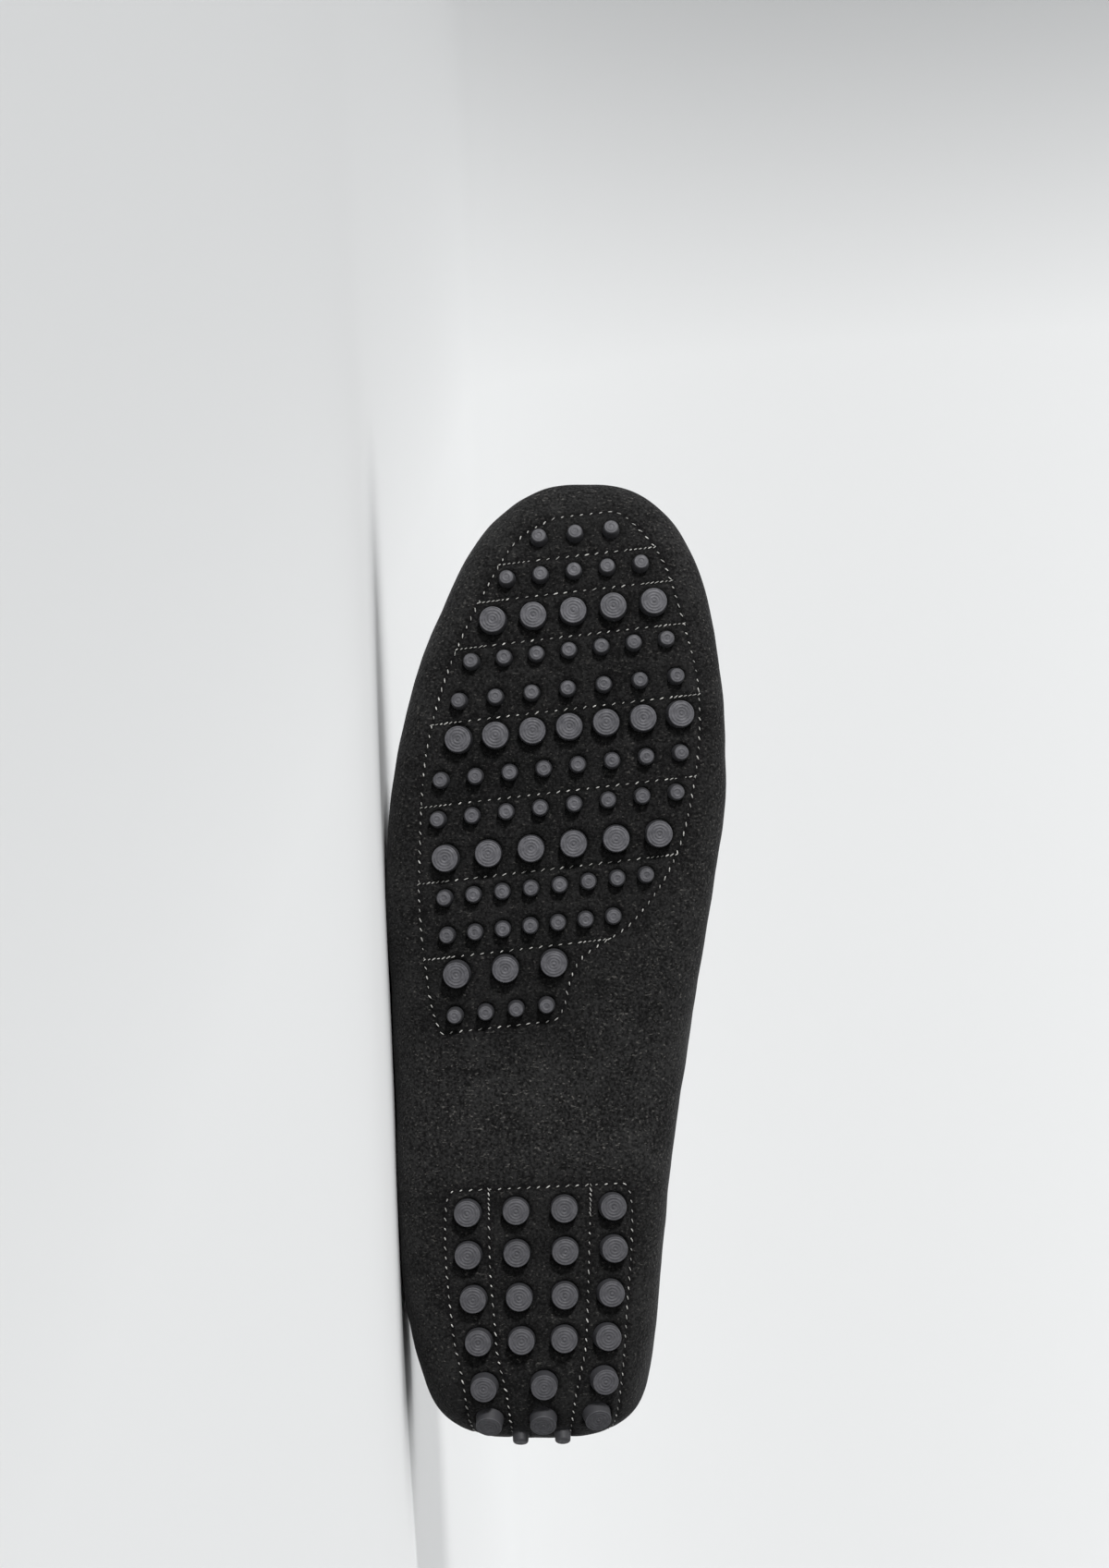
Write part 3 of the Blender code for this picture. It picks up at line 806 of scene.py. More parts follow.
@dataclass(frozen=True)
class StudRubber:
    """Matte grey rubber with the fine rings of a turned mould on each stud's face. The rings are also painted
    lighter and darker as light and shade, and the studs' sides and rims are painted darker as shade.
    """

    colour: tuple[float, float, float] = (0.036, 0.036, 0.041)
    dusty: tuple[float, float, float] = (0.122, 0.120, 0.131)
    # Painted shade: the darker colour of the studs' sides and rounded rims; the heel studs' faces are also
    # mixed towards it.
    side: tuple[float, float, float] = (0.026, 0.026, 0.029)
    rings_per_mm: float = 1.15
    ring_depth: float = 0.06 * MM

    def material(self) -> bpy.types.Material:
        """Builds the material."""
        coat = Coat("grey_rubber", Roughness=0.62, Specular_IOR_Level=0.35)
        face = coat.attribute("stud_face")
        ring = (coat.attribute("turn_radius") * (2 * math.pi * self.rings_per_mm)).sine()
        dust = coat.ramp(coat.grain(800.0, 5.0), 0.36, 0.70)
        wear = coat.ramp(coat.grain(40.0, 2.0), 0.30, 0.70)
        # Painted light and shade: the mould's rings are lighter on their crests and darker in their troughs.
        rings = coat.ramp(ring, -1.0, 1.0)
        tone = coat.mix(dust * 0.46 + rings * 0.14 + wear * 0.18, self.colour, self.dusty)
        tone = coat.mix(coat.attribute("worn") * 0.36, tone, self.side)
        # The studs' sides and rims take the darker colour as painted shade; the faces keep the dust and
        # rings.
        coat.feed("Base Color", coat.mix(face, self.side, tone))
        coat.feed("Roughness", 0.70 - coat.grain(350.0, 4.0) * 0.22)
        coat.bump(ring * face, self.ring_depth, 0.8)
        coat.bump(coat.grain(1500.0, 4.0), 0.15 * MM, 0.3)
        return coat.material


@dataclass(frozen=True)
class Thread:
    """Waxed thread, whose tone varies at random along it and from stitch to stitch."""

    colour: tuple[float, float, float]
    name: str = "sole_thread"
    strands_per_metre: float = 5200.0

    def material(self) -> bpy.types.Material:
        """Builds the material."""
        coat = Coat(self.name, Roughness=0.55, Specular_IOR_Level=0.4)
        wear = coat.ramp(coat.grain(900.0, 3.0), 0.3, 0.7) * coat.attribute("tone")
        dark = tuple(0.30 * c for c in self.colour)
        coat.feed("Base Color", coat.mix(wear, dark, self.colour))
        coat.bump(coat.grain(self.strands_per_metre, 2.0), 0.08 * MM, 0.6)
        return coat.material


@dataclass(frozen=True)
class SmoothLeather:
    """Smooth black leather with a fine pebble, for the sock, the lining and the collar's binding."""

    name: str
    colour: tuple[float, float, float]
    pebble_scale: float = 1300.0

    def material(self) -> bpy.types.Material:
        """Builds the material."""
        coat = Coat(self.name, Roughness=0.5, Specular_IOR_Level=0.4)
        cells = coat.add("ShaderNodeTexVoronoi", None, Vector=coat.place(), Scale=self.pebble_scale)
        pebble = coat.signal(cells, "Distance")
        wear = coat.ramp(coat.grain(60.0, 4.0), 0.35, 0.7)
        light = tuple(1.6 * c for c in self.colour)
        coat.feed("Base Color", coat.mix(wear, self.colour, light))
        coat.feed("Roughness", 0.42 + coat.grain(120.0, 3.0) * 0.25)
        coat.bump(pebble, 0.12 * MM, 0.5)
        return coat.material


@dataclass(frozen=True)
class StudioSweep:
    """The pale floor and backdrop, with painted shade that makes them a little darker past the toe.

    The curve between them faces more of the lights than either, so its paint is toned down to look even.
    """

    pale: tuple[float, float, float] = (0.745, 0.752, 0.755)
    # Painted shade: the darker paint past the toe.
    dim: tuple[float, float, float] = (0.31, 0.315, 0.32)
    pale_from: float = -0.10
    dim_from: float = -0.62
    lean: float = 0.15
    curve_share: float = 0.22

    def material(self) -> bpy.types.Material:
        """Builds the material."""
        coat = Coat("studio_sweep", Roughness=0.9, Specular_IOR_Level=0.05)
        parts = coat.add("ShaderNodeSeparateXYZ", None, Vector=coat.place())
        along = coat.signal(parts, "X") + coat.signal(parts, "Y") * self.lean
        # Painted shade, from pale to darker past the toe, along a slanted line.
        share = coat.ramp(along, self.dim_from, self.pale_from)
        facing = coat.signal(coat.add("ShaderNodeNewGeometry"), "Normal")
        up = coat.signal(coat.add("ShaderNodeSeparateXYZ", None, Vector=facing), "Z")
        bend = 2 * up * (1 - up * up) ** 0.5
        paint = coat.mix(share, self.dim, self.pale)
        coat.feed("Base Color", coat.mix(bend * self.curve_share, paint, (0.0, 0.0, 0.0)))
        return coat.material


def placed(name: str, bm: bmesh.types.BMesh, matrix: Matrix) -> bpy.types.Object:
    """Makes a smooth object of a bmesh and lays it down in the world.

    Args:
        name: The piece's name.
        bm: The shape, which is freed.
        matrix: Where it lies.

    Returns:
        The object, which sits at the origin.
    """
    bm.transform(matrix)
    mesh = bpy.data.meshes.new(name)
    bm.to_mesh(mesh)
    bm.free()
    mesh.shade_smooth()
    piece = bpy.data.objects.new(name, mesh)
    bpy.context.scene.collection.objects.link(piece)
    return piece


def stamp(bm: bmesh.types.BMesh, shape: bmesh.types.BMesh, matrix: Matrix) -> None:
    """Adds a copy of a small shape to a bmesh.

    Args:
        bm: The bmesh that grows.
        shape: The small shape.
        matrix: Where the copy stands.
    """
    mesh = bpy.data.meshes.new("stamp")
    shape.to_mesh(mesh)
    mesh.transform(matrix)
    bm.from_mesh(mesh)
    bpy.data.meshes.remove(mesh)


def paint(bm: bmesh.types.BMesh, name: str, values: float | Sequence[float]) -> None:
    """Gives the vertices a layer that a material reads.

    Args:
        bm: The shape.
        name: The layer's name.
        values: One value for all the vertices, or one for each.
    """
    layer = bm.verts.layers.float.new(name)
    for vertex, value in zip(bm.verts, np.broadcast_to(values, len(bm.verts))):
        vertex[layer] = value


def turn_faces(bm: bmesh.types.BMesh, outward: Callable[[np.ndarray], np.ndarray]) -> None:
    """Reverses all the faces where they point the wrong way on the whole, judged by about 500 of them.

    Args:
        bm: The shape.
        outward: Gives the right way for rows of face middles.
    """
    bm.normal_update()
    faces = list(bm.faces)[:: max(len(bm.faces) // 500, 1)]
    middles = np.array([face.calc_center_median() for face in faces])
    normals = np.array([face.normal for face in faces])
    if (normals * outward(middles)).sum() < 0:
        bmesh.ops.reverse_faces(bm, faces=bm.faces)


def mapped_grid(points: np.ndarray, **tints: np.ndarray) -> bmesh.types.BMesh:
    """Bends a flat grid onto a surface.

    Args:
        points: The surface's points, by row and column.
        tints: Values of the same points in the same order, for layers that a material reads.

    Returns:
        The bent grid, with its first and last row marked 1 and 2 in the layer "end".
    """
    rows, columns = points.shape[0] - 1, points.shape[1] - 1
    bm = bmesh.new()
    bmesh.ops.create_grid(bm, x_segments=rows, y_segments=columns, size=1.0)
    flat = np.array([v.co[:2] for v in bm.verts])
    i = np.rint((flat[:, 0] + 1) / 2 * rows).astype(int)
    j = np.rint((flat[:, 1] + 1) / 2 * columns).astype(int)
    end = bm.verts.layers.int.new("end")
    for vertex, row, point in zip(bm.verts, i, points[i, j]):
        vertex.co = point
        vertex[end] = 1 if row == 0 else 2 if row == rows else 0
    for name, values in tints.items():
        paint(bm, name, values.reshape(points.shape[:2])[i, j])
    return bm


def close_ends(bm: bmesh.types.BMesh) -> None:
    """Closes the two small openings that the marked rows of a grid run round."""
    end = bm.verts.layers.int["end"]
    for mark in (1, 2):
        loop = [e for e in bm.edges if e.is_boundary and all(v[end] == mark for v in e.verts)]
        if loop:
            bmesh.ops.holes_fill(bm, edges=loop)


def tree_of(points: np.ndarray) -> kdtree.KDTree:
    """Sorts points for quick searches by distance."""
    tree = kdtree.KDTree(len(points))
    for i, point in enumerate(points):
        tree.insert(point, i)
    tree.balance()
    return tree


def nearest(tree: kdtree.KDTree, points: np.ndarray) -> np.ndarray:
    """Gives each point's distance to the nearest point of a tree."""
    return np.array([tree.find(point)[2] for point in points])


def resampled(path: np.ndarray, spacing: float, closed: bool) -> np.ndarray:
    """Spaces points evenly along a path.

    Args:
        path: Rows of points.
        spacing: The wanted spacing, which is fitted to the path's length.
        closed: Whether the path ends where it starts.

    Returns:
        Rows of points.
    """
    if closed:
        path = np.vstack([path, path[:1]])
    run = length_along(path)
    count = max(int(round(run[-1] / spacing)), 1)
    at = np.linspace(0, run[-1], count + 1)
    return read_along(at[:-1] if closed else at, run, path)


@dataclass(frozen=True)
class Crease:
    """A soft trough pressed into the suede between two places, with a low ridge beside it."""

    start: tuple[float, float, float]
    end: tuple[float, float, float]
    width: float
    depth: float

    def push(self, points: np.ndarray) -> np.ndarray:
        """Gives how far the crease moves the surface outwards.

        Args:
            points: Rows of points.

        Returns:
            Distances, which are negative in the trough.
        """
        start, end = np.array(self.start) * MM, np.array(self.end) * MM
        line = end - start
        share = np.clip((points - start) @ line / (line @ line), 0, 1)
        away = np.linalg.norm(points - start - share[:, None] * line, axis=1) / self.width
        fade = np.sin(np.pi * np.clip(0.12 + 0.76 * share, 0, 1))
        return self.depth * fade * (0.55 * bell(away - 1.9, 1.0) - bell(away, 1.0))


@dataclass
class Suedework:
    """What the suede wrap and the apron share: where the collar and the apron's seam run."""

    last: Last
    apron_rows: tuple[tuple[float, float], ...] = (
        (0.500, 0.600), (0.570, 0.640), (0.640, 0.665), (0.710, 0.685), (0.780, 0.690), (0.830, 0.675),
        (0.870, 0.640), (0.900, 0.575), (0.918, 0.460), (0.927, 0.300), (0.931, 0.000),
    )
    apron_peak: float = 0.780
    wall: float = 2 * MM

    def __post_init__(self) -> None:
        """Makes a smooth curve of the apron's edge."""
        self.apron_half = Curve(self.apron_rows, 1)

    def collar_height(self, x: Number) -> np.ndarray:
        """Gives the height of the collar's rim over the ground."""
        return self.last.curves["topline"](x / self.last.length) * self.last.instep_height

    def side_edge(self, x: float, side: Side) -> float:
        """Finds how far round the cross-section the wrap goes on one side.

        Args:
            x: The station.
            side: Which side of the foot.

        Returns:
            The distance walked from the middle of the underside.
        """
        run, y, z = self.last.ring(x)
        cut = self.last.cut(x)
        share = x / self.last.length
        way = run * side.value
        gone = z > self.collar_height(x)
        if self.apron_rows[0][0] <= share <= self.apron_rows[-1][0]:
            over = np.abs(y - cut.middle) < self.apron_half(share) * cut.half
            gone |= over & (z > cut.level)
        passed = way[gone & (way > 0)]
        return float(passed.min() if len(passed) else way.max()) * side.value

    def side_edges(self, x: float) -> tuple[float, float]:
        """Gives how far round the cross-section the wrap goes on the outer and the inner side."""
        return self.side_edge(x, Side.LATERAL), self.side_edge(x, Side.MEDIAL)

    def apron_edge(self, x: np.ndarray, side: Side) -> np.ndarray:
        """Gives the places of the apron's seam on one side at many stations."""
        cut = self.last.cut(x)
        y = cut.middle + side.value * self.apron_half(x / self.last.length) * cut.half
        return self.last.on_top(x, y)


@dataclass
class SuedeWrap:
    """The wrap that goes under the foot and up its sides, with a punched hole for each stud."""

    work: Suedework
    patches: tuple[StudPatch, ...]
    studs: dict[bool, Stud]
    under_columns: int = 112
    side_columns: int = 33
    fine_step: float = 0.72 * MM
    arch_step: float = 1.5 * MM
    tip_step: float = 0.07 * MM
    tip_growth: float = 0.10
    under_share: float = 0.86
    side_start: float = 0.6
    hole_gap: float = 0.42 * MM
    hole_depth: float = 1.3 * MM
    seam_spacing: float = 0.5 * MM
    groove_depth: float = 0.42 * MM
    groove_width: float = 0.75 * MM
    pillow_height: float = 0.35 * MM
    pillow_width: float = 3.2 * MM
    patch_fade: float = 9 * MM
    dip_depth: float = 0.30 * MM
    dip_width: float = 1.1 * MM
    shade_width: float = 0.7 * MM
    swell_depth: float = 0.35 * MM
    pucker_depth: float = 0.16 * MM
    lip_depth: float = 0.35 * MM
    snap: float = 1.2 * MM
    blend_back: float = 0.6 * MM
    blend_out: float = 1.6 * MM
    blend_span: float = 2.2 * MM
    tip: float = 0.02 * MM
    arch: tuple[float, float] = (0.275, 0.425)
    creases: tuple[Crease, ...] = (
        Crease((118, -40, 34), (150, -41, 54), 4.5 * MM, 0.7 * MM),
        Crease((96, -39, 50), (118, -41, 34), 5.0 * MM, 0.5 * MM),
        Crease((112, 42, 36), (98, 40, 54), 5.5 * MM, 0.7 * MM),
        Crease((128, 47, 34), (120, 44, 54), 4.5 * MM, 0.6 * MM),
        Crease((108, 12, 6), (124, 34, 8), 5.0 * MM, 0.45 * MM),
        Crease((88, -26, 6), (104, -8, 6), 5.5 * MM, 0.35 * MM),
        Crease((188, 53, 30), (172, 40, 62), 5.0 * MM, 0.8 * MM),
        Crease((196, -38, 30), (178, -30, 60), 5.0 * MM, 0.8 * MM),
        Crease((22, -30, 30), (34, -36, 56), 5.0 * MM, 0.7 * MM),
        Crease((20, 32, 30), (32, 36, 56), 5.0 * MM, 0.7 * MM),
    )

    def stations(self) -> np.ndarray:
        """Chooses the stations of the grid's rows, close together at the tips and under the studs."""
        length = self.work.last.length
        places = [self.tip]
        while places[-1] < length:
            x = places[-1]
            plain = self.arch_step if self.arch[0] * length < x < self.arch[1] * length else self.fine_step
            places.append(x + min(plain, self.tip_step + self.tip_growth * max(min(x, length - x), 0)))
        return np.array([x for x in places if x < length - self.tip] + [length - self.tip])

    def seam_points(self) -> np.ndarray:
        """Gives close points along every seam of the underside."""
        paths = []
        for patch in self.patches:
            for along, across, closed in patch.seams():
                points, _ = self.work.last.on_sole(along, across * self.work.last.ball_width, patch.slant)
                paths.append(resampled(points, self.seam_spacing, closed))
        return np.vstack(paths)

    def stud_spots(self) -> list[tuple[np.ndarray, np.ndarray, float]]:
        """Gives each stud's place, normal and radius."""
        spots = []
        for patch in self.patches:
            for big in (True, False):
                points, normals = patch.studs(self.work.last, big)
                spots += [(p, n, self.studs[big].radius) for p, n in zip(points, normals)]
        return spots

    def surface(self) -> np.ndarray:
        """Works out the grid's points on the plain last, by row and column."""
        rows = []
        for station in self.stations():
            low, high = self.work.side_edges(station)
            half = float(self.work.last.cut(station).half) * self.under_share
            left, right = max(-half, self.side_start * low), min(half, self.side_start * high)
            spans = (
                np.linspace(low, left, self.side_columns, endpoint=False),
                np.linspace(left, right, self.under_columns, endpoint=False),
                np.linspace(right, high, self.side_columns + 1),
            )
            rows.append(self.work.last.walked(station, np.concatenate(spans)))
        return np.array(rows)

    def build(self, pose: Pose) -> bpy.types.Object:
        """Makes the wrap.

        Args:
            pose: How the shoe lies.

        Returns:
            The piece.
        """
        last = self.work.last
        grid = self.surface()
        points = grid.reshape(-1, 3)
        seams = nearest(tree_of(self.seam_points()), points)
        spots = self.stud_spots()
        stud_tree = tree_of(np.array([place for place, _, _ in spots]))
        found = [stud_tree.find(point) for point in points]
        radii = np.array([radius for _, _, radius in spots])[[i for _, i, _ in found]]
        from_rim = np.maximum(np.array([away for _, _, away in found]) - radii, 0)
        in_patch, groove = bell(from_rim, self.patch_fade), bell(seams, self.groove_width)
        push = -self.groove_depth * groove
        push += self.pillow_height * in_patch * (1 - bell(seams, self.pillow_width))
        push -= self.dip_depth * bell(from_rim, self.dip_width)
        for crease in self.creases:
            push += crease.push(points)
        swell = rough(points, 55.0) + 0.5 * rough(points, 130.0)
        push += self.swell_depth * swell + self.pucker_depth * in_patch * rough(points, 310.0)
        shaped = points + last.outward(points) * push[:, None]
        # Painted shade: darker in the seam grooves and round each stud's rim.
        hollow = np.clip(0.75 * groove + 0.9 * bell(from_rim, self.shade_width), 0, 1)
        # A darker tone over all the wrap, rising between the studs as painted shade.
        bm = mapped_grid(shaped.reshape(grid.shape), hollow=hollow, rubbed=0.15 + 0.85 * in_patch)
        self.punch(bm, spots)
        bmesh.ops.remove_doubles(bm, verts=bm.verts, dist=0.015 * MM)
        self.close_toe(bm)
        turn_faces(bm, last.outward)
        return placed("suede_wrap", bm, pose.matrix)

    def close_toe(self, bm: bmesh.types.BMesh) -> None:
        """Joins the wrap's two edges over the toes and closes the tips of the toe and heel."""
        seam_from = self.work.apron_rows[-1][0] * self.work.last.length + 0.1 * MM
        over_toe = {v for e in bm.edges if e.is_boundary for v in e.verts if v.co.x > seam_from}
        bmesh.ops.remove_doubles(bm, verts=list(over_toe), dist=0.3 * MM)
        close_ends(bm)

    def punch(self, bm: bmesh.types.BMesh, spots: list[tuple[np.ndarray, np.ndarray, float]]) -> None:
        """Opens a round hole at each stud and turns its edge in.

        Args:
            bm: The wrap.
            spots: Each stud's place, normal and radius.
        """
        grid = list(bm.verts)
        tree = tree_of(np.array([v.co for v in grid]))
        hollow = bm.verts.layers.float["hollow"]
        for point, normal, stud_radius in spots:
            radius = stud_radius + self.hole_gap
            centre, up = Vector(point), Vector(normal)
            near = [grid[i] for _, i, _ in tree.find_range(centre, radius + self.blend_span)]
            faces = {face for v in near for face in v.link_faces}
            inside = [f for f in faces if self.off_axis(f.calc_center_median(), centre, up).length < radius]
            bmesh.ops.delete(bm, geom=inside, context="FACES_ONLY")
            ring = []
            for v in (v for v in near if v.link_faces):
                flat = self.off_axis(v.co, centre, up)
                away = flat.length
                open_edges = [e for e in v.link_edges if len(e.link_faces) == 1]
                if open_edges and away < radius + self.snap:
                    ring += [e for e in open_edges if e not in ring]
                    target = radius
                elif away < radius + self.blend_out:
                    share = max(away - radius + self.blend_back, 0.0) / self.blend_span
                    target = radius + 0.25 * MM + share * 1.35 * MM
                else:
                    continue
                if away > 1e-7:
                    v.co += flat * (target / away - 1)
            limit = radius + 1.3 * MM
            rim = [e for e in set(ring) if all((w.co - centre).length < limit for w in e.verts)]
            for depth in (self.lip_depth, self.hole_depth):
                made = bmesh.ops.extrude_edge_only(bm, edges=rim)["geom"]
                rim = [g for g in made if isinstance(g, bmesh.types.BMEdge)]
                for v in (g for g in made if isinstance(g, bmesh.types.BMVert)):
                    v.co -= up * depth
                    # The turned-in wall of each hole is wholly in painted shade.
                    v[hollow] = 1.0
        loose = [v for v in bm.verts if not v.link_faces]
        bmesh.ops.delete(bm, geom=loose, context="VERTS")

    @staticmethod
    def off_axis(point: Vector, centre: Vector, up: Vector) -> Vector:
        """Gives the way from a stud's axis straight out to a point."""
        offset = point - centre
        return offset - up * offset.dot(up)


@dataclass
class Lining:
    """The leather that lines the shoe, just inside the suede."""

    work: Suedework
    depth: float = 2.0 * MM
    tread_depth: float = 4.5 * MM
    end_gap: float = 0.1 * MM
    rows: int = 150
    columns: int = 90

    def build(self, pose: Pose) -> bpy.types.Object:
        """Makes the lining of the wrap, with its faces towards the foot."""
        last = self.work.last
        x = self.end_gap + (last.length - 2 * self.end_gap) * (eased(self.rows) + 1) / 2
        edges = [self.work.side_edges(station) for station in x]
        grid = np.array([last.walked(at, np.linspace(*ends, self.columns + 1)) for at, ends in zip(x, edges)])
        points = grid.reshape(-1, 3)
        outward = last.outward(points)
        tread = np.clip((-outward[:, 2:] - 0.15) / 0.6, 0, 1)
        inner = points - outward * (self.depth + (self.tread_depth - self.depth) * tread)
        bm = mapped_grid(inner.reshape(grid.shape))
        bmesh.ops.remove_doubles(bm, verts=bm.verts, dist=0.02 * MM)
        close_ends(bm)
        turn_faces(bm, lambda middles: -last.outward(middles))
        return placed("leather_lining", bm, pose.matrix)


@dataclass
class Apron:
    """The top panel, from the collar's throat to the rounded seam over the toes."""

    work: Suedework
    rows: int = 170
    columns: int = 120
    lip: float = 0.9 * MM
    swell_depth: float = 0.4 * MM
    lip_width: float = 2.2 * MM
    creases: tuple[Crease, ...] = (
        Crease((196, -18, 62), (200, 34, 60), 4.5 * MM, 0.9 * MM),
        Crease((184, -20, 68), (188, 36, 66), 4.0 * MM, 0.6 * MM),
        Crease((211, -12, 55), (214, 30, 55), 4.0 * MM, 0.55 * MM),
    )

    def front(self, across: np.ndarray) -> np.ndarray:
        """Finds how far forward each column goes before it meets the rounded seam.

        Args:
            across: Columns from -1 to 1.

        Returns:
            Distances from the back of the heel.
        """
        last = self.work.last
        shares = np.linspace(self.work.apron_peak, self.work.apron_rows[-1][0], 400)
        halves = np.minimum.accumulate(self.work.apron_half(shares))
        return np.interp(-np.abs(across) * halves[0], -halves, shares) * last.length

    def place(self, x: np.ndarray, across: np.ndarray) -> np.ndarray:
        """Gives points on the last's top, by station and column."""
        peak = self.work.apron_peak
        share = x / self.work.last.length
        half = np.where(share < peak, self.work.apron_half(share), self.work.apron_half(peak))
        cut = self.work.last.cut(x)
        return self.work.last.on_top(x, cut.middle + across * half * cut.half)

    def back(self, across: np.ndarray) -> np.ndarray:
        """Finds where each column starts at the collar's rim."""
        low = np.full_like(across, 0.44 * self.work.last.length)
        high = np.full_like(across, 0.66 * self.work.last.length)
        for _ in range(30):
            half = (low + high) / 2
            cut_off = self.place(half, across)[:, 2] > self.work.collar_height(half)
            low = np.where(cut_off, half, low)
            high = np.where(cut_off, high, half)
        return high

    def build(self, pose: Pose) -> bpy.types.Object:
        """Makes the apron as a sheet with a lining side.

        Args:
            pose: How the shoe lies.

        Returns:
            The piece.
        """
        across = eased(self.columns)
        back, front = self.back(across), self.front(across)
        along = np.linspace(0, 1, self.rows + 1)
        x = back[None, :] + (front - back)[None, :] * along[:, None]
        points = self.place(x.ravel(), np.tile(across, self.rows + 1))
        away = nearest(tree_of(self.seam_path()), points)
        push = self.lip * bell(away, self.lip_width) + self.swell_depth * rough(points, 42.0)
        push += sum(crease.push(points) for crease in self.creases)
        shaped = points + self.work.last.outward(points) * push[:, None]
        bm = mapped_grid(shaped.reshape(*x.shape, 3))
        bmesh.ops.remove_doubles(bm, verts=bm.verts, dist=0.02 * MM)
        turn_faces(bm, lambda middles: UP)
        # No painted shade on the apron; its tone is a little darker all over.
        paint(bm, "hollow", 0.0)
        paint(bm, "rubbed", 0.2)
        piece = placed("suede_apron", bm, pose.matrix)
        wall = piece.modifiers.new("wall", "SOLIDIFY")
        wall.thickness = self.work.wall
        wall.offset = -1.0
        wall.use_rim = True
        return piece

    def seam_path(self) -> np.ndarray:
        """Gives the apron's seam, from the outer end of the throat round the toes to the inner end."""
        last = self.work.last
        ends = self.back(np.array([-1.0, 1.0]))
        front = self.work.apron_rows[-1][0] * last.length
        lateral = front - (front - ends[0]) * np.linspace(1, 0, 400) ** 2
        medial = front - (front - ends[1]) * np.linspace(0, 1, 400) ** 2
        path = [self.work.apron_edge(lateral, Side.LATERAL), self.work.apron_edge(medial, Side.MEDIAL)]
        return resampled(np.vstack(path), 0.5 * MM, closed=False)


def swept(path: np.ndarray, ups: np.ndarray, outline: np.ndarray, closed: bool) -> bmesh.types.BMesh:
    """Sweeps an outline along a path by bridging copies of it.

    Args:
        path: Rows of points.
        ups: Rows of unit normals, the outline's second axis.
        outline: For each point of the path, rows of (sideways, up) offsets.
        closed: Whether the path is a loop.

    Returns:
        The swept tube, with its ends closed.
    """
    ahead = np.roll(path, -1, axis=0) - np.roll(path, 1, axis=0)
    if not closed:
        ahead[0], ahead[-1] = path[1] - path[0], path[-1] - path[-2]
    ahead /= np.linalg.norm(ahead, axis=1, keepdims=True)
    sides = np.cross(ahead, ups)
    sides /= np.linalg.norm(sides, axis=1, keepdims=True)
    ups = np.cross(sides, ahead)
    rings = path[:, None, :] + outline[:, :, :1] * sides[:, None, :] + outline[:, :, 1:] * ups[:, None, :]
    if closed:
        rings = np.concatenate([rings, rings[:1]])
    bm = mapped_grid(np.concatenate([rings, rings[:, :1]], axis=1))
    bmesh.ops.remove_doubles(bm, verts=bm.verts, dist=0.002 * MM)
    rims = [edge for edge in bm.edges if edge.is_boundary]
    if rims:
        bmesh.ops.holes_fill(bm, edges=rims)
    bmesh.ops.recalc_face_normals(bm, faces=bm.faces)
    return bm


def oval(count: int, wide: float, high: float) -> np.ndarray:
    """Gives rows of (sideways, up) offsets round an oval."""
    angles = np.linspace(0, 2 * math.pi, count, endpoint=False)
    return np.stack([np.cos(angles) * wide, np.sin(angles) * high], axis=1)


@dataclass
class MoccasinSeam:
    """The raised seam round the apron, pinched into small gathers by hand stitches."""

    apron: Apron
    width: float = 1.5 * MM
    height: float = 1.7 * MM
    gather: float = 4.6 * MM
    gather_swell: float = 0.16
    sides: int = 12
    stitch_radius: float = 0.38 * MM
    lift: float = 0.35 * MM
    slant: float = 0.5 * MM

    def build(self, pose: Pose) -> list[bpy.types.Object]:
        """Makes the gathered ridge and its stitches.

        Args:
            pose: How the shoe lies.

        Returns:
            The ridge and the stitches.
        """
        path = resampled(self.apron.seam_path(), 0.6 * MM, closed=False)
        ups = self.apron.work.last.outward(path)
        run = length_along(path)
        swell = 1 + self.gather_swell * np.cos(2 * math.pi * run / self.gather)
        outline = oval(self.sides, self.width, self.height)[None] * swell[:, None, None]
        ridge = swept(path + ups * self.lift, ups, outline, closed=False)
        # No painted shade on the ridge; its tone is a little darker than the wrap's.
        paint(ridge, "hollow", 0.0)
        paint(ridge, "rubbed", 0.35)
        stitches = bmesh.new()
        spots = np.arange(self.gather / 2, run[-1], self.gather)
        arc = np.linspace(-0.1 * math.pi, 1.1 * math.pi, 9)
        out, rise = np.cos(arc)[:, None], np.sin(arc)[:, None]
        tube = np.tile(oval(self.sides // 2, self.stitch_radius, self.stitch_radius), (len(arc), 1, 1))
        places, later = read_along(spots, run, path), read_along(spots + 0.3 * MM, run, path)
        for point, then, up in zip(places, later, read_along(spots, run, ups)):
            ahead = (then - point) / max(np.linalg.norm(then - point), 1e-9)
            side = np.cross(ahead, up) * self.width * 0.92
            bow = point + up * (self.lift + self.height * 0.90 * rise) + (side + ahead * self.slant) * out
            small = swept(bow, np.tile(ahead, (len(arc), 1)), tube, closed=False)
            stamp(stitches, small, Matrix())
            small.free()
        paint(stitches, "tone", 1.0)
        pieces = {"apron_seam_ridge": ridge, "apron_seam_stitches": stitches}
        return [placed(name, bm, pose.matrix) for name, bm in pieces.items()]


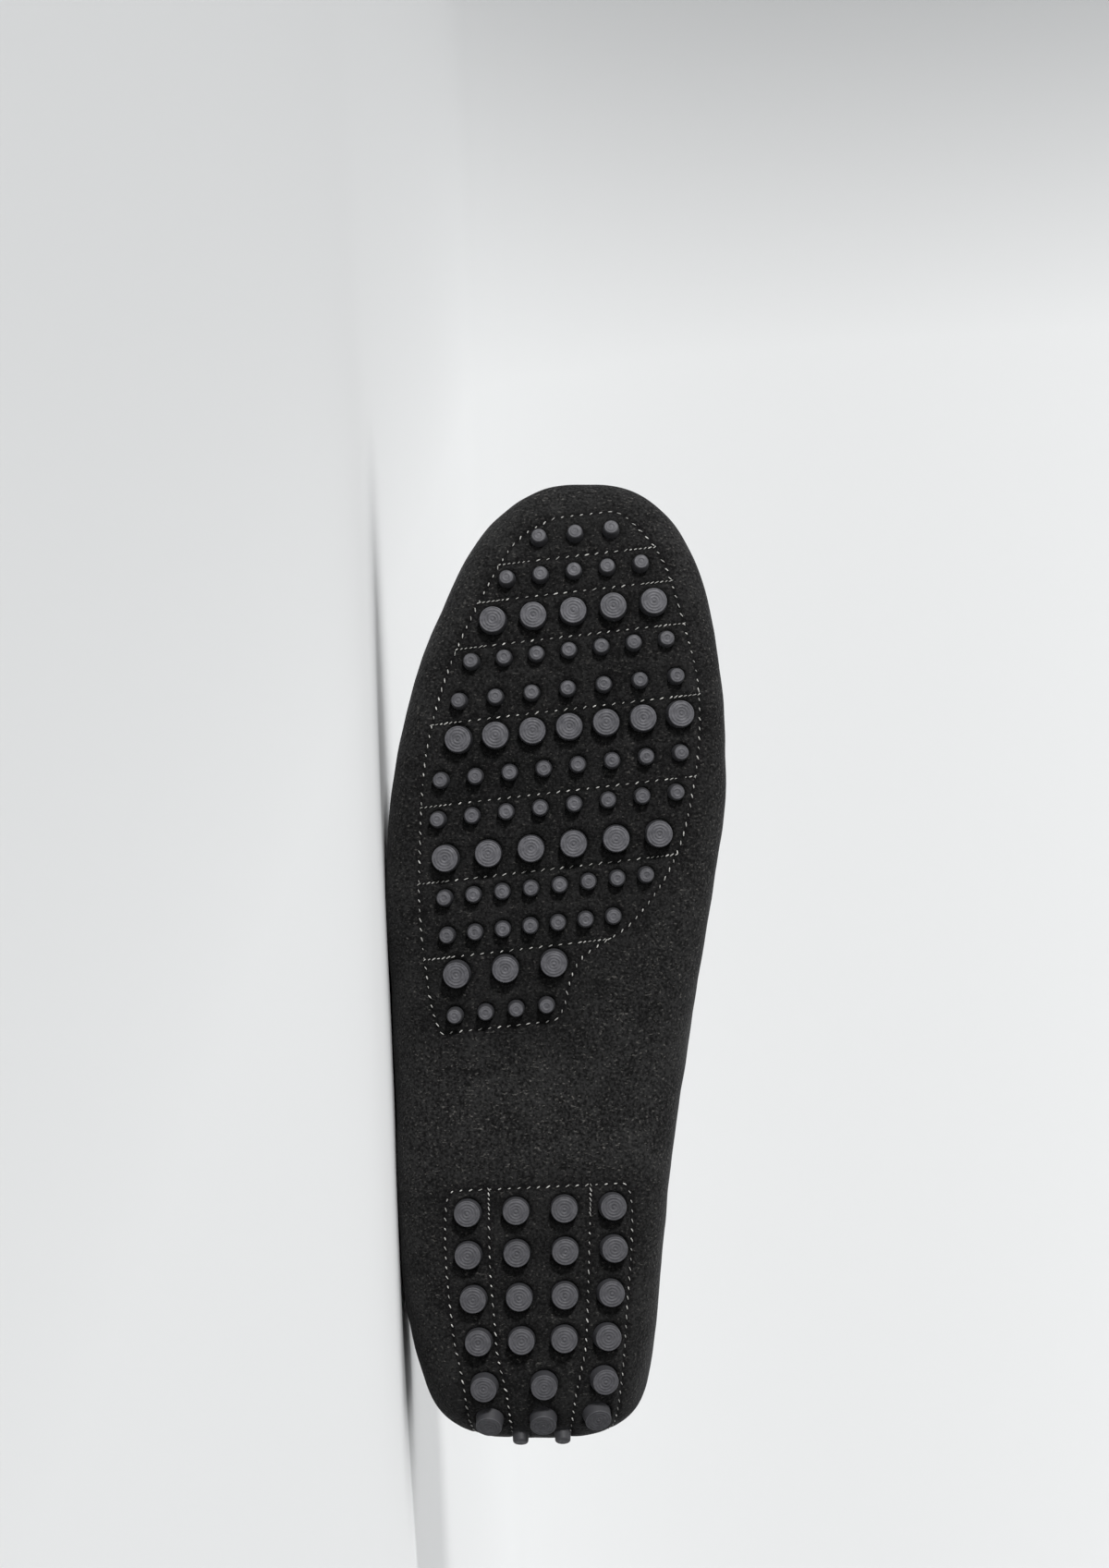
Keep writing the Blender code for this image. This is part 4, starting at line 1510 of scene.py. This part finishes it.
@dataclass
class CollarBinding:
    """The narrow leather binding round the collar."""

    work: Suedework
    apron: Apron
    width: float = 1.75 * MM
    height: float = 1.9 * MM
    sides: int = 14

    def rim(self) -> np.ndarray:
        """Gives the collar's rim as one loop, halfway through the wall.

        Returns:
            Rows of points.
        """
        across = eased(59)
        back = self.apron.back(across)
        throat = self.apron.place(back, across)
        start, sides = self.heel_point(), []
        for side, end in ((Side.LATERAL, back[0]), (Side.MEDIAL, back[-1])):
            stations = start + (end - start) * np.linspace(0, 1, 260) ** 2.2
            sides.append([self.work.last.walked(x, self.work.side_edge(x, side)) for x in stations])
        loop = resampled(np.vstack([sides[0], throat[1:-1], sides[1][::-1]]), 1.2 * MM, closed=True)
        kernel = np.array([1, 2, 3, 2, 1]) / 9
        for axis in range(3):
            padded = np.concatenate([loop[-2:, axis], loop[:, axis], loop[:2, axis]])
            loop[:, axis] = np.convolve(padded, kernel, mode="valid")
        return loop - self.work.last.outward(loop) * self.work.wall / 2

    def heel_point(self) -> float:
        """Finds the station where the rim crosses the back of the heel."""
        low, high = 0.05 * MM, 30 * MM
        for _ in range(40):
            half = (low + high) / 2
            cut = self.work.last.cut(half)
            if cut.level + cut.above > self.work.collar_height(half):
                high = half
            else:
                low = half
        return high

    def build(self, pose: Pose) -> bpy.types.Object:
        """Makes the binding."""
        rim = self.rim()
        outline = np.tile(oval(self.sides, self.height, self.width), (len(rim), 1, 1))
        bm = swept(rim, self.work.last.outward(rim), outline, closed=True)
        return placed("collar_binding", bm, pose.matrix)


@dataclass
class RubberPlate:
    """A rubber plate inside the suede with its turned studs."""

    last: Last
    patch: StudPatch
    studs: dict[bool, Stud]
    worn: float = 0.0
    wall: float = 2 * MM
    gap: float = 0.3 * MM
    thickness: float = 1.5 * MM
    turn_each: float = 2.399
    rows: int = 60
    columns: int = 30

    def build(self, pose: Pose) -> bpy.types.Object:
        """Makes the plate with its studs as one moulding.

        Args:
            pose: How the shoe lies.

        Returns:
            The piece.
        """
        first, end = self.patch.outline[0][0], self.patch.outline[-1][0]
        along = np.linspace(first, end, self.rows + 1)
        low, high = self.patch.edge(along, Side.LATERAL), self.patch.edge(along, Side.MEDIAL)
        across = np.linspace(0, 1, self.columns + 1)
        y = (low[:, None] + (high - low)[:, None] * across[None]) * self.last.ball_width
        points, normals = self.last.on_sole(np.repeat(along, self.columns + 1), y.ravel(), self.patch.slant)
        sheet = points - normals * (self.wall + self.gap)
        bm = mapped_grid(sheet.reshape(self.rows + 1, self.columns + 1, 3))
        turn_faces(bm, lambda middles: -UP)
        bmesh.ops.solidify(bm, geom=list(bm.faces), thickness=self.thickness)
        paint(bm, "turn_radius", 0.0)
        paint(bm, "stud_face", 0.0)
        for big in (True, False):
            points, normals = self.patch.studs(self.last, big)
            stud = self.studs[big].turned()
            for i, (point, normal) in enumerate(zip(points, normals)):
                stand = Vector(normal).to_track_quat("Z", "Y").to_matrix().to_4x4()
                spin = Matrix.Rotation(i * self.turn_each, 4, "Z")
                stamp(bm, stud, Matrix.Translation(point) @ stand @ spin)
            stud.free()
        paint(bm, "worn", self.worn)
        piece = placed(f"{self.patch.name}_rubber", bm, pose.matrix)
        piece.data.set_sharp_from_angle(angle=math.radians(50))
        return piece


@dataclass
class SoleStitching:
    """The lockstitch that holds the suede to the rubber plates."""

    last: Last
    patches: tuple[StudPatch, ...]
    pitch: float = 2.85 * MM
    length: float = 1.25 * MM
    radius: float = 0.18 * MM
    lean: float = math.radians(24)
    depth: float = 0.18 * MM
    tacks: int = 3
    lean_play: float = 0.5
    depth_play: float = 0.35
    length_play: float = 0.32
    width_play: float = 0.2
    seed: int = 7

    def runs(self) -> Iterator[tuple[np.ndarray, bool]]:
        """Gives the places of the stitches in each run, with short doubled runs at the ends of open seams."""
        for patch in self.patches:
            for along, across, closed in patch.seams():
                points, _ = self.last.on_sole(along, across * self.last.ball_width, patch.slant)
                yield resampled(points, self.pitch, closed), closed
                if not closed:
                    halves = resampled(points, self.pitch / 2, closed)
                    yield halves[1 : 2 * self.tacks : 2], False
                    yield halves[-2 * self.tacks : -1 : 2], False

    def build(self, pose: Pose) -> bpy.types.Object:
        """Makes every stitch as a short slanted bead of thread in its groove.

        Args:
            pose: How the shoe lies.

        Returns:
            The piece.
        """
        bead = bmesh.new()
        bmesh.ops.create_uvsphere(bead, u_segments=8, v_segments=6, radius=1.0)
        bmesh.ops.scale(bead, vec=(self.length / 2, self.radius, self.radius), verts=bead.verts)
        bm = bmesh.new()
        tones = []
        hand = np.random.default_rng(self.seed)
        for path, closed in self.runs():
            normals = self.last.outward(path)
            ahead = np.roll(path, -1, axis=0) - path
            if not closed:
                ahead[-1] = path[-1] - path[-2]
            for point, normal, way in zip(path, normals, ahead):
                up, forward = Vector(normal), Vector(way).normalized()
                if forward.x + 0.3 * forward.y < 0:
                    forward = -forward
                side = up.cross(forward).normalized()
                turn = Matrix((forward, side, up)).transposed().to_4x4()
                wobble, stretch, sink, light = hand.uniform(-1, 1, 4)
                lean = Matrix.Rotation(self.lean * (1 + self.lean_play * wobble), 4, "Z")
                depth = self.depth * (1 + self.depth_play * sink)
                size = Matrix.Diagonal((1 + self.length_play * stretch, 1 + self.width_play * light, 1, 1))
                stamp(bm, bead, Matrix.Translation(Vector(point) - up * depth) @ turn @ lean @ size)
                tones += [0.60 + 0.40 * light] * len(bead.verts)
        bead.free()
        paint(bm, "tone", tones)
        return placed("sole_stitching", bm, pose.matrix)


@dataclass
class Sock:
    """The leather sock that the foot stands on."""

    last: Last
    lift: float = 4.8 * MM
    thickness: float = 3.0 * MM
    shell: float = 1.2 * MM
    end_margin: float = 8 * MM
    side_margin: float = 6 * MM
    heel_round: float = 26 * MM
    toe_round: float = 36 * MM
    end_share: float = 0.25
    rows: int = 160
    columns: int = 50

    def build(self, pose: Pose) -> bpy.types.Object:
        """Makes the sock with a rounded edge.

        Args:
            pose: How the shoe lies.

        Returns:
            The piece.
        """
        x = self.end_margin + (self.last.length - 2 * self.end_margin) * (eased(self.rows) + 1) / 2
        cut = self.last.cut(x)
        from_heel = 1 - (x - self.end_margin) / self.heel_round
        from_toe = 1 - (self.last.length - self.end_margin - x) / self.toe_round
        short = np.clip(np.maximum(from_heel, from_toe), 0, 1)
        share = self.end_share + (1 - self.end_share) * np.sqrt(1 - short**2)
        half = (cut.half - self.side_margin) * share
        across = eased(self.columns)
        y = (cut.middle[:, None] + half[:, None] * across[None]).ravel()
        stations = np.repeat(x, self.columns + 1)
        starts = np.stack([stations, y, self.last.cut(stations).level], axis=1)
        points = self.last.reach(starts, np.tile(-UP, (len(starts), 1)))
        crown = 1 - np.abs(np.tile(across, self.rows + 1)) ** 10
        crown *= 1 - np.abs(np.repeat(np.linspace(-1, 1, self.rows + 1), self.columns + 1)) ** 24
        height = self.lift + self.shell + (self.thickness - self.shell) * np.sqrt(crown)
        sheet = points - self.last.outward(points) * height[:, None]
        bm = mapped_grid(sheet.reshape(self.rows + 1, self.columns + 1, 3))
        turn_faces(bm, lambda middles: UP)
        bmesh.ops.solidify(bm, geom=list(bm.faces), thickness=self.shell)
        return placed("leather_sock", bm, pose.matrix)


@dataclass
class Studio:
    """The floor and backdrop, the soft lights and the camera at the photograph's angle."""

    pose: Pose
    distance: float = 1.078
    lens: float = 84.9
    sensor: float = 36.0
    aim: tuple[float, float] = (194.7 * MM, 6.5 * MM)
    wall_start: float = 1.6
    wall_radius: float = 1.2
    wall_height: float = 2.6
    floor_near: float = -8.0
    half_width: float = 7.0
    steps: int = 90
    air: tuple[float, ...] = (0.97, 0.99, 1.0, 1.0)
    air_strength: float = 0.16

    def sweep(self) -> None:
        """Makes the floor, which curves up into the backdrop."""
        quarter = self.wall_radius * math.pi / 2
        flat = self.wall_start - self.floor_near
        run = np.linspace(0, flat + quarter + self.wall_height, self.steps + 1)[:, None]
        turn = np.clip((run - flat) / self.wall_radius, 0, math.pi / 2)
        x = self.half_width * np.linspace(-1, 1, 5)
        y = self.floor_near + np.minimum(run, flat) + self.wall_radius * np.sin(turn)
        z = self.wall_radius * (1 - np.cos(turn)) + np.maximum(run - flat - quarter, 0)
        bm = mapped_grid(np.stack(np.broadcast_arrays(x, y, z), axis=2))
        turn_faces(bm, lambda middles: UP)
        sweep = placed("studio_sweep", bm, Matrix())
        sweep.data.materials.append(StudioSweep().material())

    def sun(self, name: str, way: Vector, spread: float, power: float) -> None:
        """Adds a far, wide light that is even over the whole sweep.

        Args:
            name: The light's name.
            way: The direction in which it shines.
            spread: The angle that it fills.
            power: Its strength in watts to the square metre.
        """
        data = bpy.data.lights.new(name, "SUN")
        data.angle = spread
        data.energy = power
        lamp = bpy.data.objects.new(name, data)
        lamp.rotation_euler = way.to_track_quat("-Z", "Y").to_euler()
        bpy.context.scene.collection.objects.link(lamp)

    def camera(self) -> None:
        """Sets the camera square to the underside, with the toe at the top of the picture."""
        turn = self.pose.matrix.to_3x3()
        along, across = self.aim
        place = self.pose.matrix @ Vector((along, across, -self.distance))
        right, up, back = turn @ Vector((0, 1, 0)), turn @ Vector((1, 0, 0)), turn @ Vector((0, 0, -1))
        data = bpy.data.cameras.new("photo_camera")
        data.lens = self.lens
        data.sensor_width = self.sensor
        data.clip_end = 20
        camera = bpy.data.objects.new("photo_camera", data)
        camera.matrix_world = Matrix.Translation(place) @ Matrix((right, up, back)).transposed().to_4x4()
        bpy.context.scene.collection.objects.link(camera)
        bpy.context.scene.camera = camera

    def build(self) -> None:
        """Sets up the studio."""
        self.sweep()
        self.camera()
        self.sun("key_light", Vector((0.74, 0.64, -0.22)), math.radians(8), 3.9)
        self.sun("overhead_light", Vector((0.05, 0.1, -1.0)), math.radians(60), 1.75)
        world = bpy.data.worlds.new("studio_air")
        world.use_nodes = True
        background = world.node_tree.nodes["Background"]
        background.inputs["Color"].default_value = self.air
        background.inputs["Strength"].default_value = self.air_strength
        bpy.context.scene.world = world
        bpy.context.scene.view_settings.view_transform = "Standard"


# The faces of the two studs that carry the record's mounts, in the last's frame.
HEEL_FACE = (0.057559, -0.004533, 0.000034)
FOREFOOT_FACE = (0.175792, -0.000389, 0.000015)


def dress(piece: bpy.types.Object, finish: bpy.types.Material, node: str | None = None) -> None:
    """Gives a piece its finish and its place in the part.

    Args:
        piece: The piece.
        finish: Its material.
        node: The solid that it stands for, if it stands for one.
    """
    piece.data.materials.append(finish)
    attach(piece, "root")
    if node:
        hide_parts(node)
    LOG.info("%s: %d faces", piece.name, len(piece.data.polygons))


def main() -> None:
    """Builds the shoe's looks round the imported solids."""
    logging.basicConfig(level=logging.INFO)
    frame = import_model()
    last = Last()
    patches = (FOREFOOT, HEEL)
    studs = {
        True: Stud(3.86 * MM, 3.2 * MM, 0.35 * MM, 28),
        False: Stud(2.28 * MM, 3.0 * MM, 0.75 * MM, 22),
    }
    pose = Pose.from_record(frame["record"], Vector(HEEL_FACE), Vector(FOREFOOT_FACE))
    Studio(pose).build()
    work = Suedework(last)
    apron = Apron(work)
    suede = Suede().material()
    dress(SuedeWrap(work, patches, studs).build(pose), suede, "upper")
    dress(apron.build(pose), suede, "apron")
    lining = SmoothLeather("lining_leather", (0.016, 0.015, 0.015)).material()
    dress(Lining(work).build(pose), lining)
    ridge, stitches = MoccasinSeam(apron).build(pose)
    dress(ridge, suede)
    apron_thread = Thread((0.030, 0.029, 0.029), "apron_thread").material()
    dress(stitches, apron_thread)
    binding = SmoothLeather("binding_leather", (0.012, 0.0115, 0.0115)).material()
    dress(CollarBinding(work, apron).build(pose), binding)
    rubber = StudRubber().material()
    for patch, node, worn in ((FOREFOOT, "forefoot_sole", 0.0), (HEEL, "heel_sole", 1.0)):
        dress(RubberPlate(last, patch, studs, worn).build(pose), rubber, node)
    thread = Thread((0.62, 0.61, 0.58)).material()
    dress(SoleStitching(last, patches).build(pose), thread)
    sock = SmoothLeather("sock_leather", (0.018, 0.017, 0.017)).material()
    dress(Sock(last).build(pose), sock, "insole")


if __name__ == "__main__":
    main()
